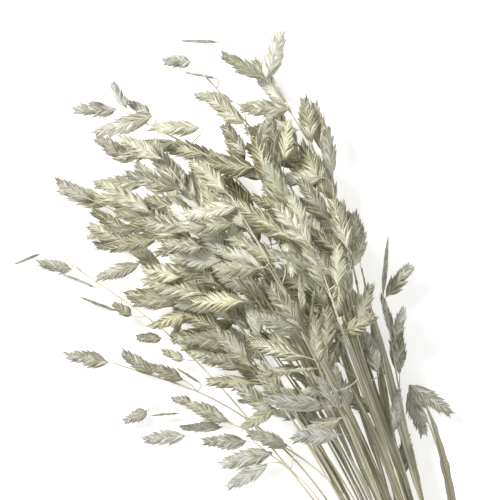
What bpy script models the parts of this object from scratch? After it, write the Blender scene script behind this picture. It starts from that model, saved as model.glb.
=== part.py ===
"""Dried northern sea oats: a tied bunch of flowering stems, laid down on a surface.

The stems run along +Y from their cut ends to the heads, X is across the bunch and Z is up. Each stem is one
solid: its culm, the thin stalks that branch off it and the flat saw-edged spikelets at their ends, with a
leaf blade on some. All of them pass through one round tie near the cut ends and fan out from there.
"""

import math
import random

import bmesh
import bpy
from mathutils import Vector, kdtree
from mathutils.bvhtree import BVHTree

MM = 0.001
SEED = 16

# The bundle at the tie
TIE_Y = 110 * MM
TIE_WIDTH = 8 * MM
TIE_WALL = 1.8 * MM
TIE_SIDES = 12
TIE_GAP = 0.35 * MM
TIE_STRAIGHT = 0.25
PITCH = 2.5 * MM
BUNDLE_REACH = 6
CUT_END_SPREAD = 1.35
CUT_END_STAGGER = 9 * MM
CUT_END_LIFT = 1.3

# Culms
CULM_RADIUS = 1.05 * MM
RACHIS_RADIUS = 0.62 * MM
CULM_TAPER = 1.4
CULM_SPARE = 0.3 * MM
CULM_POINTS = 9
FAN_Y = 330 * MM
FAN_RISE = 2.3
FAN_FLOOR = 5 * MM
ARCH_SHARE = 0.55
ARCH_RISE = 0.65
SAMPLE_STEP = 9 * MM
CLEAR_AT_TIE = 2.45 * MM
CLEAR_IN_HEAD = 5.2 * MM
FREE_FROM_Y = 1.12 * TIE_Y
FREE_AT_Y = 0.85 * FAN_Y
RELAX_ROUNDS = 60
RELAX_SMOOTHING = 0.35

# Stalks and spikelets
STALK_RADIUS = 0.42 * MM
STALK_ROOT = 1.25
STALK_END = 1.5
STALK_BEND = 0.45
BENT_STALK_FROM = 20 * MM
SPIKELET_LEAST_WIDTH = 5.6 * MM
SPIKELET_WIDENING = 0.22
SPIKELET_CREST = 1.15 * MM
FLORET_PAIRS_SMALL = 3
SMALL_BELOW = 43 * MM
FLORET_PAIRS = 4
FLORET_PAIRS_LARGE = 5
LARGE_FROM = 48 * MM
NOTCH_DEPTH = 0.56
NECK_WIDTH = 0.2
BELLY_AT = 0.42
END_NARROWING = 0.62
FLOOR_CUT = 0.45 * MM

# How a spikelet looks for room: each try strays further from the wanted place, up to these turns in radians
# and this shift, and the first tries also keep it clear of its own stem's spikelets.
PLACE_TRIES = 70
STRICT_TRIES = 50
STRAY_HEADING = 0.5
STRAY_RISE = 0.7
STRAY_ROLL = 1.1
STRAY_SHIFT = 7 * MM
STRAY_HEIGHT = 18 * MM
SPARE_WIDTH = 1.03
SPARE_DEPTH = 1.5 * MM
SPARE_HEIGHT = 0.8 * MM

# Spikelets set by the rule: angles in degrees, sizes in millimetres. They turn left of their stem's heading.
RULED_TURN = 30
RULED_HANDS = 24
RULED_STRAY = 13
RULED_RISE = 0.3
RULED_ROLL = 34
RULED_LENGTH = (34, 45)
RULED_REACH = (6, 12)
RULED_STEP = (15, 23)
RULED_LIFT = (-3, 4)
END_TURN = 16
END_REACH = 5
DRAWN_RISE = (-0.16, 0.22)
DRAWN_LIFT = (-3, 5)
DRAWN_ROLL = 28
EDGE_ON_ROLL = 84
STALK_BACK = 0.55
STEM_REACH = 20 * MM
MOST_TOPMOST = 5

# Leaf blades
LEAF_WIDTH = 8.4 * MM
LEAF_CREST = 0.45 * MM
LEAF_SHARES = (0.0, 0.25, 0.5, 0.75, 1.0)
LEAF_WIDTHS = (0.12, 0.75, 1.0, 0.8)
LEAF_FOLD = 0.22
LEAF_TRIES = 45
LEAF_START = (225, 345)
LEAF_LENGTH = (115, 180)
LEAF_LEAN = (4, 11)
LEAF_SIDE = (0.1, 0.9)
LEAF_ROLL = 32
LEAF_ROOT_WIDTH = 0.4
LEAF_DEPTH = 1.3 * MM
LEAF_ROOT_BACK = 3 * MM
LEAF_STEM_SHARE = 0.6
LEAF_TIP_LEVEL = 0.8

# Stems whose shape and spikelets are set one by one, all in millimetres on the plan: name, plan points past
# the fan, height of the tip, spikelets as (base x, base y, tip x, tip y, turned on edge).
DRAWN_STEMS = (
    ("far_left_chain", ((-29, 344), (-37, 378), (-47, 410), (-60, 448), (-70, 491), (-94, 537), (-110, 567),
                        (-125, 584)), 12,
     ((-125, 579, -147, 595, 0), (-142, 600, -163, 600, 1), (-115, 559, -132, 580, 1),
      (-108, 536, -129, 557, 1), (-98, 528, -108, 543, 0), (-85, 503, -103, 511, 0), (-78, 495, -68, 508, 0),
      (-76, 481, -89, 494, 0))),
    ("lower_left_nod", ((-20, 340), (-23, 358), (-34, 390), (-43, 418), (-53, 439), (-73, 459), (-103, 483),
                        (-126, 500)), 6,
     ((-131, 503, -159, 523, 0), (-102, 480, -116, 507, 0), (-84, 467, -103, 488, 0),
      (-73, 459, -84, 476, 1))),
    ("left_cluster", ((-10, 335), (-14, 368), (-17, 395), (-21, 422), (-25, 440), (-32, 453)), 22,
     ((-41, 464, -70, 485, 0), (-24, 439, -48, 467, 0), (-32, 440, -62, 468, 0), (-24, 428, -48, 450, 0),
      (-30, 420, -51, 440, 1))),
    ("left_bend", ((-1, 331), (-6, 371), (-15, 404), (-26, 438), (-32, 465), (-36, 481)), 27,
     ((-39, 487, -63, 517, 0), (-37, 482, -69, 498, 0), (6, 495, -38, 485, 0))),
    ("low_spray", ((-5, 333), (-7, 355), (-15, 370), (-30, 397), (-46, 413), (-63, 423), (-82, 438)), 9,
     ((-66, 425, -89, 451, 0), (-72, 422, -102, 437, 0), (-101, 427, -133, 438, 0), (-98, 445, -117, 453, 1),
      (-118, 458, -138, 460, 0), (-85, 449, -98, 458, 0))),
    ("lowest_spray", ((-26, 343), (-30, 368), (-33, 386), (-44, 396), (-55, 403)), 15,
     ((-33, 388, -58, 413, 0), (-59, 405, -90, 419, 0), (-45, 389, -86, 398, 0), (-52, 383, -88, 380, 0))),
    ("short_middle", ((14, 324), (18, 360), (21, 387), (21, 399)), 50,
     ((19, 402, -10, 416, 0), (16, 398, -24, 405, 0))),
    ("right_droop", ((67, 300), (72, 322), (76, 351), (75, 377), (72, 390)), 14,
     ((71, 391, 93, 359, 0), (71, 388, 75, 349, 0))),
    ("right_fork", ((44, 310), (50, 345), (59, 386), (70, 422), (81, 457)), 20,
     ((83, 460, 112, 474, 0), (81, 462, 103, 501, 1), (72, 425, 75, 464, 1), (73, 419, 86, 450, 1))),
    ("right_edge", ((31, 316), (41, 361), (54, 405), (65, 449), (76, 487)), 7,
     ((77, 492, 89, 530, 0), (65, 451, 61, 476, 0), (56, 410, 55, 446, 0))),
    ("top_right", ((24, 320), (38, 379), (57, 445), (78, 517), (82, 553), (83, 583), (77, 617),
                   (71, 643)), 34,
     ((69, 646, 96, 675, 0), (67, 649, 47, 678, 0), (75, 625, 62, 649, 0), (76, 619, 41, 636, 0),
      (74, 602, 38, 618, 0), (80, 589, 89, 623, 0), (85, 579, 95, 617, 0), (85, 557, 95, 596, 0),
      (48, 687, 24, 700, 1))),
    ("thin_arch", ((26, 319), (42, 394), (50, 456), (55, 520), (53, 570), (48, 608), (42, 635), (36, 659),
                   (25, 678)), 46,
     ((23, 681, 4, 691, 0), (36, 660, 20, 676, 1), (51, 576, 38, 609, 0))),
    ("top_middle", ((21, 321), (28, 376), (40, 453), (45, 525), (40, 573), (36, 603), (39, 628)), 60,
     ((39, 640, 14, 657, 0), (37, 619, 18, 651, 0), (31, 600, 23, 628, 0), (34, 579, 18, 604, 0))),
    ("top_left", ((8, 327), (15, 381), (23, 452), (28, 516), (25, 571), (20, 601), (8, 635), (-14, 657),
                  (-39, 670)), 48,
     ((-42, 672, -73, 686, 0), (-20, 656, -65, 662, 0), (-20, 659, -33, 674, 0), (8, 635, -26, 654, 0),
      (-14, 632, -54, 638, 0), (4, 614, -27, 638, 0))),
    ("left_edge", ((2, 330), (2, 379), (0, 438), (-11, 485), (-31, 523), (-46, 552), (-58, 579), (-68, 598),
                   (-77, 611)), 12,
     ((-78, 612, -111, 640, 0), (-89, 620, -106, 645, 0), (-72, 581, -93, 614, 0), (-69, 575, -104, 590, 0),
      (-57, 577, -74, 604, 0), (-52, 590, -80, 624, 0))),
)

# Stems of the dense head, which all nod one way: place across the fan, tip x, tip y, height of the tip in
# millimetres, and how many spikelets the rule sets on them.
NODDING_STEMS = (
    (6, -46, 630, 36, 5), (-8, -74, 576, 26, 5), (-13, -54, 534, 22, 5), (14, -24, 615, 80, 6),
    (17, -16, 595, 52, 5), (3, -48, 588, 58, 6), (22, 8, 576, 94, 6), (0, -40, 562, 42, 5),
    (9, -16, 553, 76, 6), (-6, -34, 513, 18, 5), (20, 11, 546, 32, 5), (36, 70, 586, 28, 5),
    (41, 74, 544, 52, 5), (33, 46, 550, 68, 6), (34, 47, 516, 92, 6), (17, 10, 509, 58, 5),
    (39, 57, 495, 74, 6), (15, 13, 466, 86, 5), (35, 48, 460, 52, 5),
)
NOD_POWER = 1.9

# The topmost spikelets of the dense head, each on the highest stem near its base, as the drawn ones in
# millimetres: base x, base y, tip x, tip y.
TOPMOST = (
    (29, 588, -16, 609), (9, 568, -30, 578), (-25, 600, -26, 638), (-20, 594, -22, 621), (-28, 567, -59, 589),
    (-13, 542, -19, 574), (35, 529, 10, 569), (75, 562, 43, 574), (49, 577, 42, 611), (73, 573, 57, 595),
    (70, 521, 52, 558), (40, 549, 21, 571), (35, 544, 41, 587), (44, 520, 47, 561), (69, 504, 75, 546),
    (-34, 532, -51, 567), (-40, 520, -75, 544), (-51, 539, -75, 557), (21, 519, -11, 548), (30, 533, 25, 504),
    (16, 488, -4, 511), (13, 471, -7, 488), (67, 500, 45, 531), (52, 490, 46, 515), (56, 490, 39, 467),
    (37, 452, 68, 454), (36, 449, 13, 430), (35, 374, 35, 424), (36, 357, 28, 384), (51, 416, 48, 449),
    (71, 426, 85, 447), (28, 593, 30, 628),
)

# Drawn stems that also carry spikelets set by the rule: how many, and how far back from the tip they start.
MORE_SPIKELETS = {"top_left": (4, 96), "thin_arch": (5, 122), "top_middle": (4, 72), "left_edge": (3, 104),
                  "top_right": (3, 112), "left_bend": (2, 34), "left_cluster": (1, 40),
                  "short_middle": (2, 12), "right_fork": (2, 66), "right_edge": (2, 96)}

# Stems that keep a leaf blade, in the order in which these find room, and the blades whose start along the
# bunch and length are set, in millimetres.
LEAFY = ("right_droop", "right_fork", "nodding_17", "nodding_15", "nodding_19", "nodding_13", "top_right",
         "right_edge", "thin_arch", "short_middle", "nodding_14", "top_middle", "nodding_12", "nodding_18",
         "nodding_07", "nodding_16", "nodding_09", "nodding_04", "nodding_11", "nodding_05", "left_cluster")
SET_LEAVES = {"right_droop": (248, 112), "right_fork": (262, 172)}

# Spikelets that touch the surface, as (stem, number of its spikelet): they carry the head.
FEET = (("left_edge", 3), ("right_edge", 0), ("low_spray", 2), ("lower_left_nod", 0))

STRAW = (0.42, 0.40, 0.31, 1.0)
TIE_BEIGE = (0.50, 0.40, 0.26, 1.0)


def clear_scene():
    for thing in list(bpy.data.objects):
        bpy.data.objects.remove(thing, do_unlink=True)


def make_material(name, colour, roughness):
    """A matt plant or rubber surface of one colour."""
    material = bpy.data.materials.new(name)
    material.use_nodes = True
    shader = material.node_tree.nodes["Principled BSDF"]
    shader.inputs["Base Color"].default_value = colour
    shader.inputs["Roughness"].default_value = roughness
    shader.inputs["Metallic"].default_value = 0.0
    return material


def lattice(count):
    """Places of the stems in the round bundle: columns of a triangular lattice, the nearest to its middle."""
    column_step = PITCH * math.sqrt(3) / 2
    places = []
    for column in range(-BUNDLE_REACH, BUNDLE_REACH + 1):
        for row in range(-BUNDLE_REACH, BUNDLE_REACH + 1):
            places.append((column, column * column_step, (row + 0.5 * (column % 2)) * PITCH))
    places.sort(key=lambda place: (round(math.hypot(place[1], place[2]), 7), place[0], place[2]))
    return sorted(places[:count])


def knot_slope(knots, index):
    """Slope at a knot: level where the line before or after it is level or turns back."""
    here, before, after = knots[index], knots[max(index - 1, 0)], knots[min(index + 1, len(knots) - 1)]
    if before is not here and after is not here and (here[1] - before[1]) * (after[1] - here[1]) <= 0:
        return 0.0
    return (after[1] - before[1]) / (after[0] - before[0])


def spline(knots, place):
    """A smooth curve through (y, value) knots that never overshoots them, read at y = place."""
    last = len(knots) - 2
    index = 0
    while index < last and knots[index + 1][0] <= place:
        index += 1
    (y0, v0), (y1, v1) = knots[index], knots[index + 1]
    slope0 = knot_slope(knots, index)
    slope1 = knot_slope(knots, index + 1)
    span = y1 - y0
    t = (place - y0) / span
    t2, t3 = t * t, t * t * t
    return ((2 * t3 - 3 * t2 + 1) * v0 + (t3 - 2 * t2 + t) * span * slope0
            + (3 * t2 - 2 * t3) * v1 + (t3 - t2) * span * slope1)


def stem_list():
    """Every stem: its name, plan points past the fan, height of its tip, drawn and ruled spikelets."""
    stems = []
    for name, plan, top, drawn in DRAWN_STEMS:
        ruled, ruled_from = MORE_SPIKELETS.get(name, (0, 0))
        stems.append(dict(name=name, plan=[Vector((x, y)) * MM for x, y in plan], top=top * MM, drawn=drawn,
                          ruled=ruled, ruled_from=ruled_from * MM))
    for number, (fan_x, tip_x, tip_y, top, ruled) in enumerate(NODDING_STEMS, 1):
        plan = []
        for share in (0.0, 0.3, 0.55, 0.75, 0.9, 1.0):
            x = fan_x + (tip_x - fan_x) * share ** NOD_POWER
            y = FAN_Y / MM + (tip_y - FAN_Y / MM) * share
            plan.append(Vector((x, y)) * MM)
        stems.append(dict(name=f"nodding_{number:02d}", plan=plan, top=top * MM, drawn=(), ruled=ruled,
                          ruled_from=1.5 * MM))
    return stems


def lay_stems(stems):
    """Gives each stem its place in the tie and samples of its route, bottom to top."""
    places = lattice(len(stems))
    radius = max(math.hypot(x, z) for _, x, z in places) + CULM_RADIUS
    centre = radius + TIE_GAP + TIE_WALL
    by_side = sorted(stems, key=lambda stem: stem["plan"][0].x)
    columns = sorted({place[0] for place in places})
    taken = 0
    for column in columns:
        spots = sorted(place[2] for place in places if place[0] == column)
        x = next(place[1] for place in places if place[0] == column)
        group = sorted(by_side[taken:taken + len(spots)], key=lambda stem: stem["top"])
        taken += len(spots)
        for stem, z in zip(group, spots):
            stem["slot"] = Vector((x, z))
    draw = random.Random(SEED)
    for stem in stems:
        slot, plan = stem["slot"], stem["plan"]
        start = draw.uniform(0, CUT_END_STAGGER)
        fan_z = FAN_FLOOR + (slot.y + radius) * FAN_RISE
        tip = plan[-1]
        straight = (TIE_Y * (1 - TIE_STRAIGHT), TIE_Y * (1 + TIE_STRAIGHT))
        xs = [(start, slot.x * CUT_END_SPREAD)] + [(y, slot.x) for y in straight]
        xs += [(point.y, point.x) for point in plan]
        low_end = max(slot.y * CUT_END_SPREAD, CULM_RADIUS * CUT_END_LIFT - centre)
        arch = (FAN_Y + (tip.y - FAN_Y) * ARCH_SHARE, fan_z + (stem["top"] - fan_z) * ARCH_RISE)
        zs = [(start, centre + low_end)] + [(y, centre + slot.y) for y in straight]
        zs += [(FAN_Y, fan_z), arch, (tip.y, stem["top"])]
        steps = round((tip.y - start) / SAMPLE_STEP)
        stem["route"] = []
        for step in range(steps + 1):
            y = start + (tip.y - start) * step / steps
            stem["route"].append(Vector((spline(xs, y), y, spline(zs, y))))
    return radius, centre


def clearance(y):
    """How far apart the middles of two stems stay: just side by side at the tie, wider in the head."""
    grown = (y - FREE_FROM_Y) / (FREE_AT_Y - FREE_FROM_Y)
    return CLEAR_AT_TIE + (CLEAR_IN_HEAD - CLEAR_AT_TIE) * min(max(grown, 0.0), 1.0)


def part_routes(stems):
    """Pushes neighbouring stems apart until each keeps its clearance, then smooths what that bent."""
    for _ in range(RELAX_ROUNDS):
        samples = [(number, step) for number, stem in enumerate(stems) for step in range(len(stem["route"]))]
        tree = kdtree.KDTree(len(samples))
        for index, (number, step) in enumerate(samples):
            tree.insert(stems[number]["route"][step], index)
        tree.balance()
        moves = {}
        for index, (number, step) in enumerate(samples):
            here = stems[number]["route"][step]
            if here.y < FREE_FROM_Y:
                continue
            room = clearance(here.y)
            push = Vector((0, 0, 0))
            for there, other, gap in tree.find_range(here, room):
                if samples[other][0] == number:
                    continue
                away = here - there
                away.y = 0
                if away.length < 1e-6:
                    away = Vector((0, 0, 1 if number > samples[other][0] else -1))
                push += away.normalized() * (room - gap) * 0.5
            if push.length:
                moves[(number, step)] = push
        for (number, step), push in moves.items():
            stems[number]["route"][step] += push
        for stem in stems:
            route = stem["route"]
            old = [point.copy() for point in route]
            for step in range(1, len(route) - 1):
                if old[step].y > FREE_FROM_Y:
                    mean = (old[step - 1] + old[step + 1]) / 2
                    route[step] = old[step].lerp(mean, RELAX_SMOOTHING)
                    route[step].z = max(route[step].z, 2 * CULM_RADIUS)
        if not moves:
            break


def thin_routes(stems):
    """Keeps a few points of each route for its culm: both ends, the tie and even steps past it."""
    for stem in stems:
        route = stem["route"]
        tie = min(range(len(route)), key=lambda step: abs(route[step].y - TIE_Y))
        kept = [0, tie]
        past = len(route) - 1 - tie
        kept += [tie + round(past * step / (CULM_POINTS - 2)) for step in range(1, CULM_POINTS - 1)]
        stem["culm"] = [route[step].copy() for step in kept]


def culm_radius(stem, point):
    rise = (point.y - TIE_Y) / (stem["culm"][-1].y - TIE_Y)
    return CULM_RADIUS + (RACHIS_RADIUS - CULM_RADIUS) * min(max(rise, 0.0), 1.0) ** CULM_TAPER


def along(points, distance_back):
    """Point and direction on a route, the given distance back from its tip."""
    left = distance_back
    for end, start in zip(reversed(points), reversed(points[:-1])):
        span = (end - start).length
        if left <= span or start is points[0]:
            return end.lerp(start, min(left / span, 1.0)), (end - start).normalized()
        left -= span
    return points[0].copy(), (points[1] - points[0]).normalized()


def frame_of(direction, roll):
    """Side and face directions of a flat piece that points along direction and is rolled about it."""
    side = direction.cross(Vector((0, 0, 1)))
    if side.length < 1e-6:
        side = Vector((1, 0, 0))
    side.normalize()
    face = side.cross(direction)
    turned = side * math.cos(roll) + face * math.sin(roll)
    return turned, turned.cross(direction)


def half_width(length):
    """Half of a spikelet's width: short ones are broader for their length."""
    return (SPIKELET_LEAST_WIDTH + SPIKELET_WIDENING * length) / 2


def bezier(a, b, c, share):
    return a.lerp(b, share).lerp(b.lerp(c, share), share)


def stalk_points(root, base, direction, steps):
    """A stalk that leaves its stem towards the spikelet and meets it in line with its axis."""
    reach = (base - root).length
    bend = base - direction * reach * STALK_BEND
    return [bezier(root, bend, base, step / steps) for step in range(steps + 1)]


def tube_proxy(points, radius):
    """A four-sided stand-in for a stretch of stem or stalk, as vertices and faces."""
    verts, faces = [], []
    for index, point in enumerate(points):
        ahead = points[min(index + 1, len(points) - 1)] - points[max(index - 1, 0)]
        side, face = frame_of(ahead.normalized(), 0.0)
        for turn in range(4):
            angle = turn * math.pi / 2
            verts.append(point + (side * math.cos(angle) + face * math.sin(angle)) * radius)
    for index in range(len(points) - 1):
        for turn in range(4):
            a = index * 4 + turn
            b = index * 4 + (turn + 1) % 4
            faces.append((a, b, b + 4, a + 4))
    faces.append((0, 1, 2, 3))
    last = len(verts) - 4
    faces.append((last, last + 1, last + 2, last + 3))
    return verts, faces


def blade_proxy(base, direction, side, face, length, half_width, half_depth, end_width=0.26):
    """A flat stand-in for a spikelet or a stretch of leaf, full in its middle, as vertices and faces."""
    verts, faces = [], []
    full = ((0.3, 1.0, 1.0), (0.72, 1.0, 1.0))
    for share, wide, deep in ((-0.02, end_width, 0.6), *full, (1.03, end_width, 0.6)):
        middle = base + direction * length * share
        for across, up in ((1, 1), (-1, 1), (-1, -1), (1, -1)):
            verts.append(middle + side * half_width * wide * across + face * half_depth * deep * up)
    for ring in range(3):
        for turn in range(4):
            a = ring * 4 + turn
            b = ring * 4 + (turn + 1) % 4
            faces.append((a, b, b + 4, a + 4))
    faces.append((0, 1, 2, 3))
    faces.append((12, 13, 14, 15))
    return verts, faces


class Room:
    """What already stands in the bunch, as slightly swollen stand-ins that new pieces must keep clear of."""

    def __init__(self):
        self.things = []

    def shape(self, proxy):
        verts, faces = proxy
        middle = sum(verts, Vector()) / len(verts)
        reach = max((vert - middle).length for vert in verts)
        return middle, reach, BVHTree.FromPolygons(verts, faces)

    def add(self, stem, kind, proxy):
        self.things.append((stem, kind, self.shape(proxy)))

    def free(self, stem, kind, proxy, strict=True):
        """Whether a piece keeps clear: of all other stems, and of its own one's blades, strictly or not."""
        middle, reach, tree = self.shape(proxy)
        for other, other_kind, (there, far, other_tree) in self.things:
            blades = (kind == "blade") + (other_kind == "blade")
            if other == stem and blades < (1 if strict else 2):
                continue
            if (middle - there).length < reach + far and tree.overlap(other_tree):
                return False
        return True


def lowest(proxy):
    return min(vert.z for vert in proxy[0])


def place_spikelet(room, stem, root_back, base, heading, rise, roll, length, draw, on_floor=False):
    """Tries places near the wanted one and returns the first that is clear, or None."""
    for attempt in range(PLACE_TRIES):
        ease = attempt / PLACE_TRIES
        turn = heading + draw.uniform(-1, 1) * STRAY_HEADING * ease
        slope = rise + draw.uniform(-1, 1) * STRAY_RISE * ease
        twist = roll + draw.uniform(-1, 1) * STRAY_ROLL * ease
        if on_floor:
            slope, twist = 0.0, 0.0
        shift = Vector((draw.uniform(-1, 1) * STRAY_SHIFT, draw.uniform(-1, 1) * STRAY_SHIFT,
                        draw.uniform(-1, 1) * STRAY_HEIGHT))
        root, _ = along(stem["culm"], root_back)
        start = base + shift * ease
        level = math.cos(slope)
        direction = Vector((math.cos(turn) * level, math.sin(turn) * level, math.sin(slope)))
        side, face = frame_of(direction, twist)
        half = half_width(length)
        blade = blade_proxy(start, direction, side, face, length, half * SPARE_WIDTH, SPARE_DEPTH)
        if on_floor or lowest(blade) < 0:
            blade_low = min((start + direction * length * s + side * half * w).z
                            for s in (0.05, 0.35, 0.7, 1.0) for w in (-1, 0, 1))
            wanted = SPIKELET_CREST - FLOOR_CUT if on_floor else SPIKELET_CREST + SPARE_HEIGHT
            start.z += wanted - blade_low
            blade = blade_proxy(start, direction, side, face, length, half * SPARE_WIDTH, SPARE_DEPTH)
        steps = 1 if (start - root).length < BENT_STALK_FROM else 2
        stalk = stalk_points(root, start, direction, steps)
        if min(point.z for point in stalk) < STALK_END * STALK_RADIUS:
            continue
        stalk_proxy = tube_proxy(stalk, STALK_RADIUS * 2)
        strict = attempt < STRICT_TRIES
        if (room.free(stem["name"], "blade", blade, strict)
                and room.free(stem["name"], "stalk", stalk_proxy, strict)):
            room.add(stem["name"], "blade", blade)
            room.add(stem["name"], "stalk", stalk_proxy)
            return dict(stalk=stalk, base=start, direction=direction, side=side, face=face, length=length)
    return None


def nearest_back(points, target):
    """How far back from the tip of a route its nearest point to a place on the plan lies."""
    best, best_back, back = None, 0.0, 0.0
    for end, start in zip(reversed(points), reversed(points[:-1])):
        for share in (0.0, 0.25, 0.5, 0.75):
            point = end.lerp(start, share)
            gap = math.hypot(point.x - target.x, point.y - target.y)
            if best is None or gap < best:
                best, best_back = gap, back + share * (end - start).length
        back += (end - start).length
    return best_back, best


def traced_wish(stem, traced, edge_on, on_floor, draw):
    """The wanted place of a spikelet whose base and tip are set on the plan."""
    base_x, base_y, tip_x, tip_y = traced
    plan_base = Vector((base_x, base_y, 0)) * MM
    run = Vector((tip_x, tip_y, 0)) * MM - plan_base
    back, gap = nearest_back(stem["culm"], plan_base)
    back += 2 * MM + STALK_BACK * gap
    root, _ = along(stem["culm"], back)
    rise = draw.uniform(*DRAWN_RISE)
    base = Vector((plan_base.x, plan_base.y, root.z + draw.uniform(*DRAWN_LIFT) * MM))
    roll = math.radians(EDGE_ON_ROLL if edge_on else draw.uniform(-DRAWN_ROLL, DRAWN_ROLL))
    if on_floor:
        rise, roll = 0.0, 0.0
    return dict(root_back=back, base=base, heading=math.atan2(run.y, run.x), rise=rise, roll=roll,
                length=run.length / math.cos(rise), on_floor=on_floor)


def drawn_wishes(stem, draw):
    """The wanted places of a drawn stem's own spikelets."""
    wishes = []
    for number, (*traced, edge_on) in enumerate(stem["drawn"]):
        wishes.append(traced_wish(stem, traced, edge_on, (stem["name"], number) in FEET, draw))
    return wishes


def topmost_wishes(stems, draw):
    """Gives each of the topmost spikelets to the highest stem near its base that has not taken its share."""
    wishes = []
    for traced in TOPMOST:
        base = Vector(traced[:2]) * MM
        best, best_height = None, 0.0
        for stem in stems:
            back, gap = nearest_back(stem["culm"], base)
            height = along(stem["culm"], back)[0].z - gap
            if gap < STEM_REACH and height > best_height and stem["topmost"] < MOST_TOPMOST:
                best, best_height = stem, height
        if best:
            best["topmost"] += 1
            wishes.append((best, traced_wish(best, traced, False, False, draw)))
    return wishes


def ruled_wishes(stem, draw):
    """The places of the spikelets that the rule sets, from the tip of the stem back and on either hand."""
    wishes = []
    back = stem["ruled_from"]
    for number in range(stem["ruled"] - stem["topmost"] // 2):
        root, ahead = along(stem["culm"], back)
        hand = 1 if number % 2 else -1
        plan_heading = math.atan2(ahead.y, ahead.x)
        stray = draw.uniform(-RULED_STRAY, RULED_STRAY)
        turn = plan_heading + math.radians(RULED_TURN + hand * RULED_HANDS + stray)
        length = draw.uniform(*RULED_LENGTH) * MM
        reach = draw.uniform(*RULED_REACH) * MM
        if number == 0 and not stem["drawn"]:
            turn, reach = plan_heading + math.radians(END_TURN), END_REACH * MM
        rise = draw.uniform(-RULED_RISE, RULED_RISE)
        base = root + Vector((math.cos(turn), math.sin(turn), math.tan(rise))) * reach
        base.z += draw.uniform(*RULED_LIFT) * MM
        roll = math.radians(draw.uniform(-RULED_ROLL, RULED_ROLL))
        wishes.append(dict(root_back=back + 1.5 * MM, base=base, heading=turn, rise=rise, roll=roll,
                           length=length, on_floor=False))
        back += draw.uniform(*RULED_STEP) * MM
    return wishes


def place_leaf(room, stem, draw):
    """A long folded blade that leaves the stem in the fan and runs beside it, where it finds room."""
    culm = stem["culm"]
    for _ in range(LEAF_TRIES):
        start_y = draw.uniform(*LEAF_START) * MM
        length = draw.uniform(*LEAF_LENGTH) * MM
        if stem["name"] in SET_LEAVES:
            start_y, length = (value * MM for value in SET_LEAVES[stem["name"]])
        above = [point for point in culm if point.y > start_y]
        if len(above) < 2 or above[-1].y < start_y + length * LEAF_STEM_SHARE:
            continue
        tip_back = sum((b - a).length for a, b in zip(above, above[1:]))
        turn = draw.uniform(*LEAF_SIDE) * math.pi
        lean = draw.uniform(*LEAF_LEAN) * MM
        roll = math.radians(draw.uniform(-LEAF_ROLL, LEAF_ROLL))
        points = []
        for share in LEAF_SHARES:
            spot, ahead = along(culm, max(tip_back - length * share, 0.0))
            side, face = frame_of(ahead, 0.0)
            out = lean * (0.1 + 1.2 * share ** 1.4)
            points.append(spot + (side * math.cos(turn) + face * math.sin(turn)) * out)
        tip_rise = points[4].z - points[3].z
        points[4].z -= max(tip_rise, 0) * LEAF_TIP_LEVEL
        side, face = frame_of((points[-1] - points[1]).normalized(), roll)
        proxies = []
        for number, (a, b) in enumerate(zip(points, points[1:])):
            run = b - a
            wide = LEAF_WIDTH * (LEAF_ROOT_WIDTH if number == 0 else 0.5)
            proxies.append(blade_proxy(a, run.normalized(), side, face, run.length, wide, LEAF_DEPTH, 1.0))
        if min(lowest(proxy) for proxy in proxies) > 0 and all(
                room.free(stem["name"], "leaf", proxy, False) for proxy in proxies):
            for proxy in proxies:
                room.add(stem["name"], "leaf", proxy)
            root, _ = along(culm, tip_back + LEAF_ROOT_BACK)
            return dict(points=[root] + points[1:], side=side, face=face)
    return None


def lay_out():
    """The whole bunch as numbers: routes, leaves and spikelets, each clear of the others."""
    stems = stem_list()
    radius, centre = lay_stems(stems)
    part_routes(stems)
    thin_routes(stems)
    room = Room()
    for stem in stems:
        stem["leaf"], stem["spikelets"], stem["topmost"] = None, [], 0
        for a, b in zip(stem["culm"], stem["culm"][1:]):
            room.add(stem["name"], "culm", tube_proxy([a, b], culm_radius(stem, a) + CULM_SPARE))
    draw = random.Random(SEED + 1)
    drawn = [(stem, wish) for stem in stems for wish in drawn_wishes(stem, draw)]
    topmost = topmost_wishes(stems, draw)
    ruled = [(stem, wish) for stem in stems for wish in ruled_wishes(stem, draw)]
    feet = [(stem, wish) for stem, wish in drawn if wish["on_floor"]]
    others = [(stem, wish) for stem, wish in drawn if not wish["on_floor"]]
    for number, (stem, wish) in enumerate(feet + others + topmost + ruled):
        if number == len(feet):
            for name in LEAFY:
                leafy = next(stem for stem in stems if stem["name"] == name)
                leafy["leaf"] = place_leaf(room, leafy, draw)
        found = place_spikelet(room, stem, draw=draw, **wish)
        if found:
            stem["spikelets"].append(found)
    return stems, radius, centre


def skin(bm, rings, closed_tip=None):
    """Joins rings of four vertices by quads and closes both ends."""
    made = [[bm.verts.new(point) for point in ring] for ring in rings]
    for near, far in zip(made, made[1:]):
        for turn in range(len(near)):
            after = (turn + 1) % len(near)
            bm.faces.new((near[turn], near[after], far[after], far[turn]))
    bm.faces.new(list(reversed(made[0])))
    if closed_tip is None:
        bm.faces.new(made[-1])
    else:
        tip = bm.verts.new(closed_tip)
        for turn in range(len(made[-1])):
            bm.faces.new((made[-1][turn], made[-1][(turn + 1) % len(made[-1])], tip))
    return made


def diamond(point, side, face, half_width, half_depth):
    return [point + side * half_width, point + face * half_depth, point - side * half_width,
            point - face * half_depth]


def triangle(point, side, face, reach):
    return [point + side * reach * 0.87 - face * reach * 0.5, point + face * reach,
            point - side * reach * 0.87 - face * reach * 0.5]


def ring_frames(points):
    """Side and face directions along a route, carried without twist."""
    frames = []
    side, _ = frame_of((points[1] - points[0]).normalized(), 0.0)
    for index in range(len(points)):
        ahead = (points[min(index + 1, len(points) - 1)] - points[max(index - 1, 0)]).normalized()
        side = (side - ahead * side.dot(ahead)).normalized()
        frames.append((side, side.cross(ahead)))
    return frames


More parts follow.
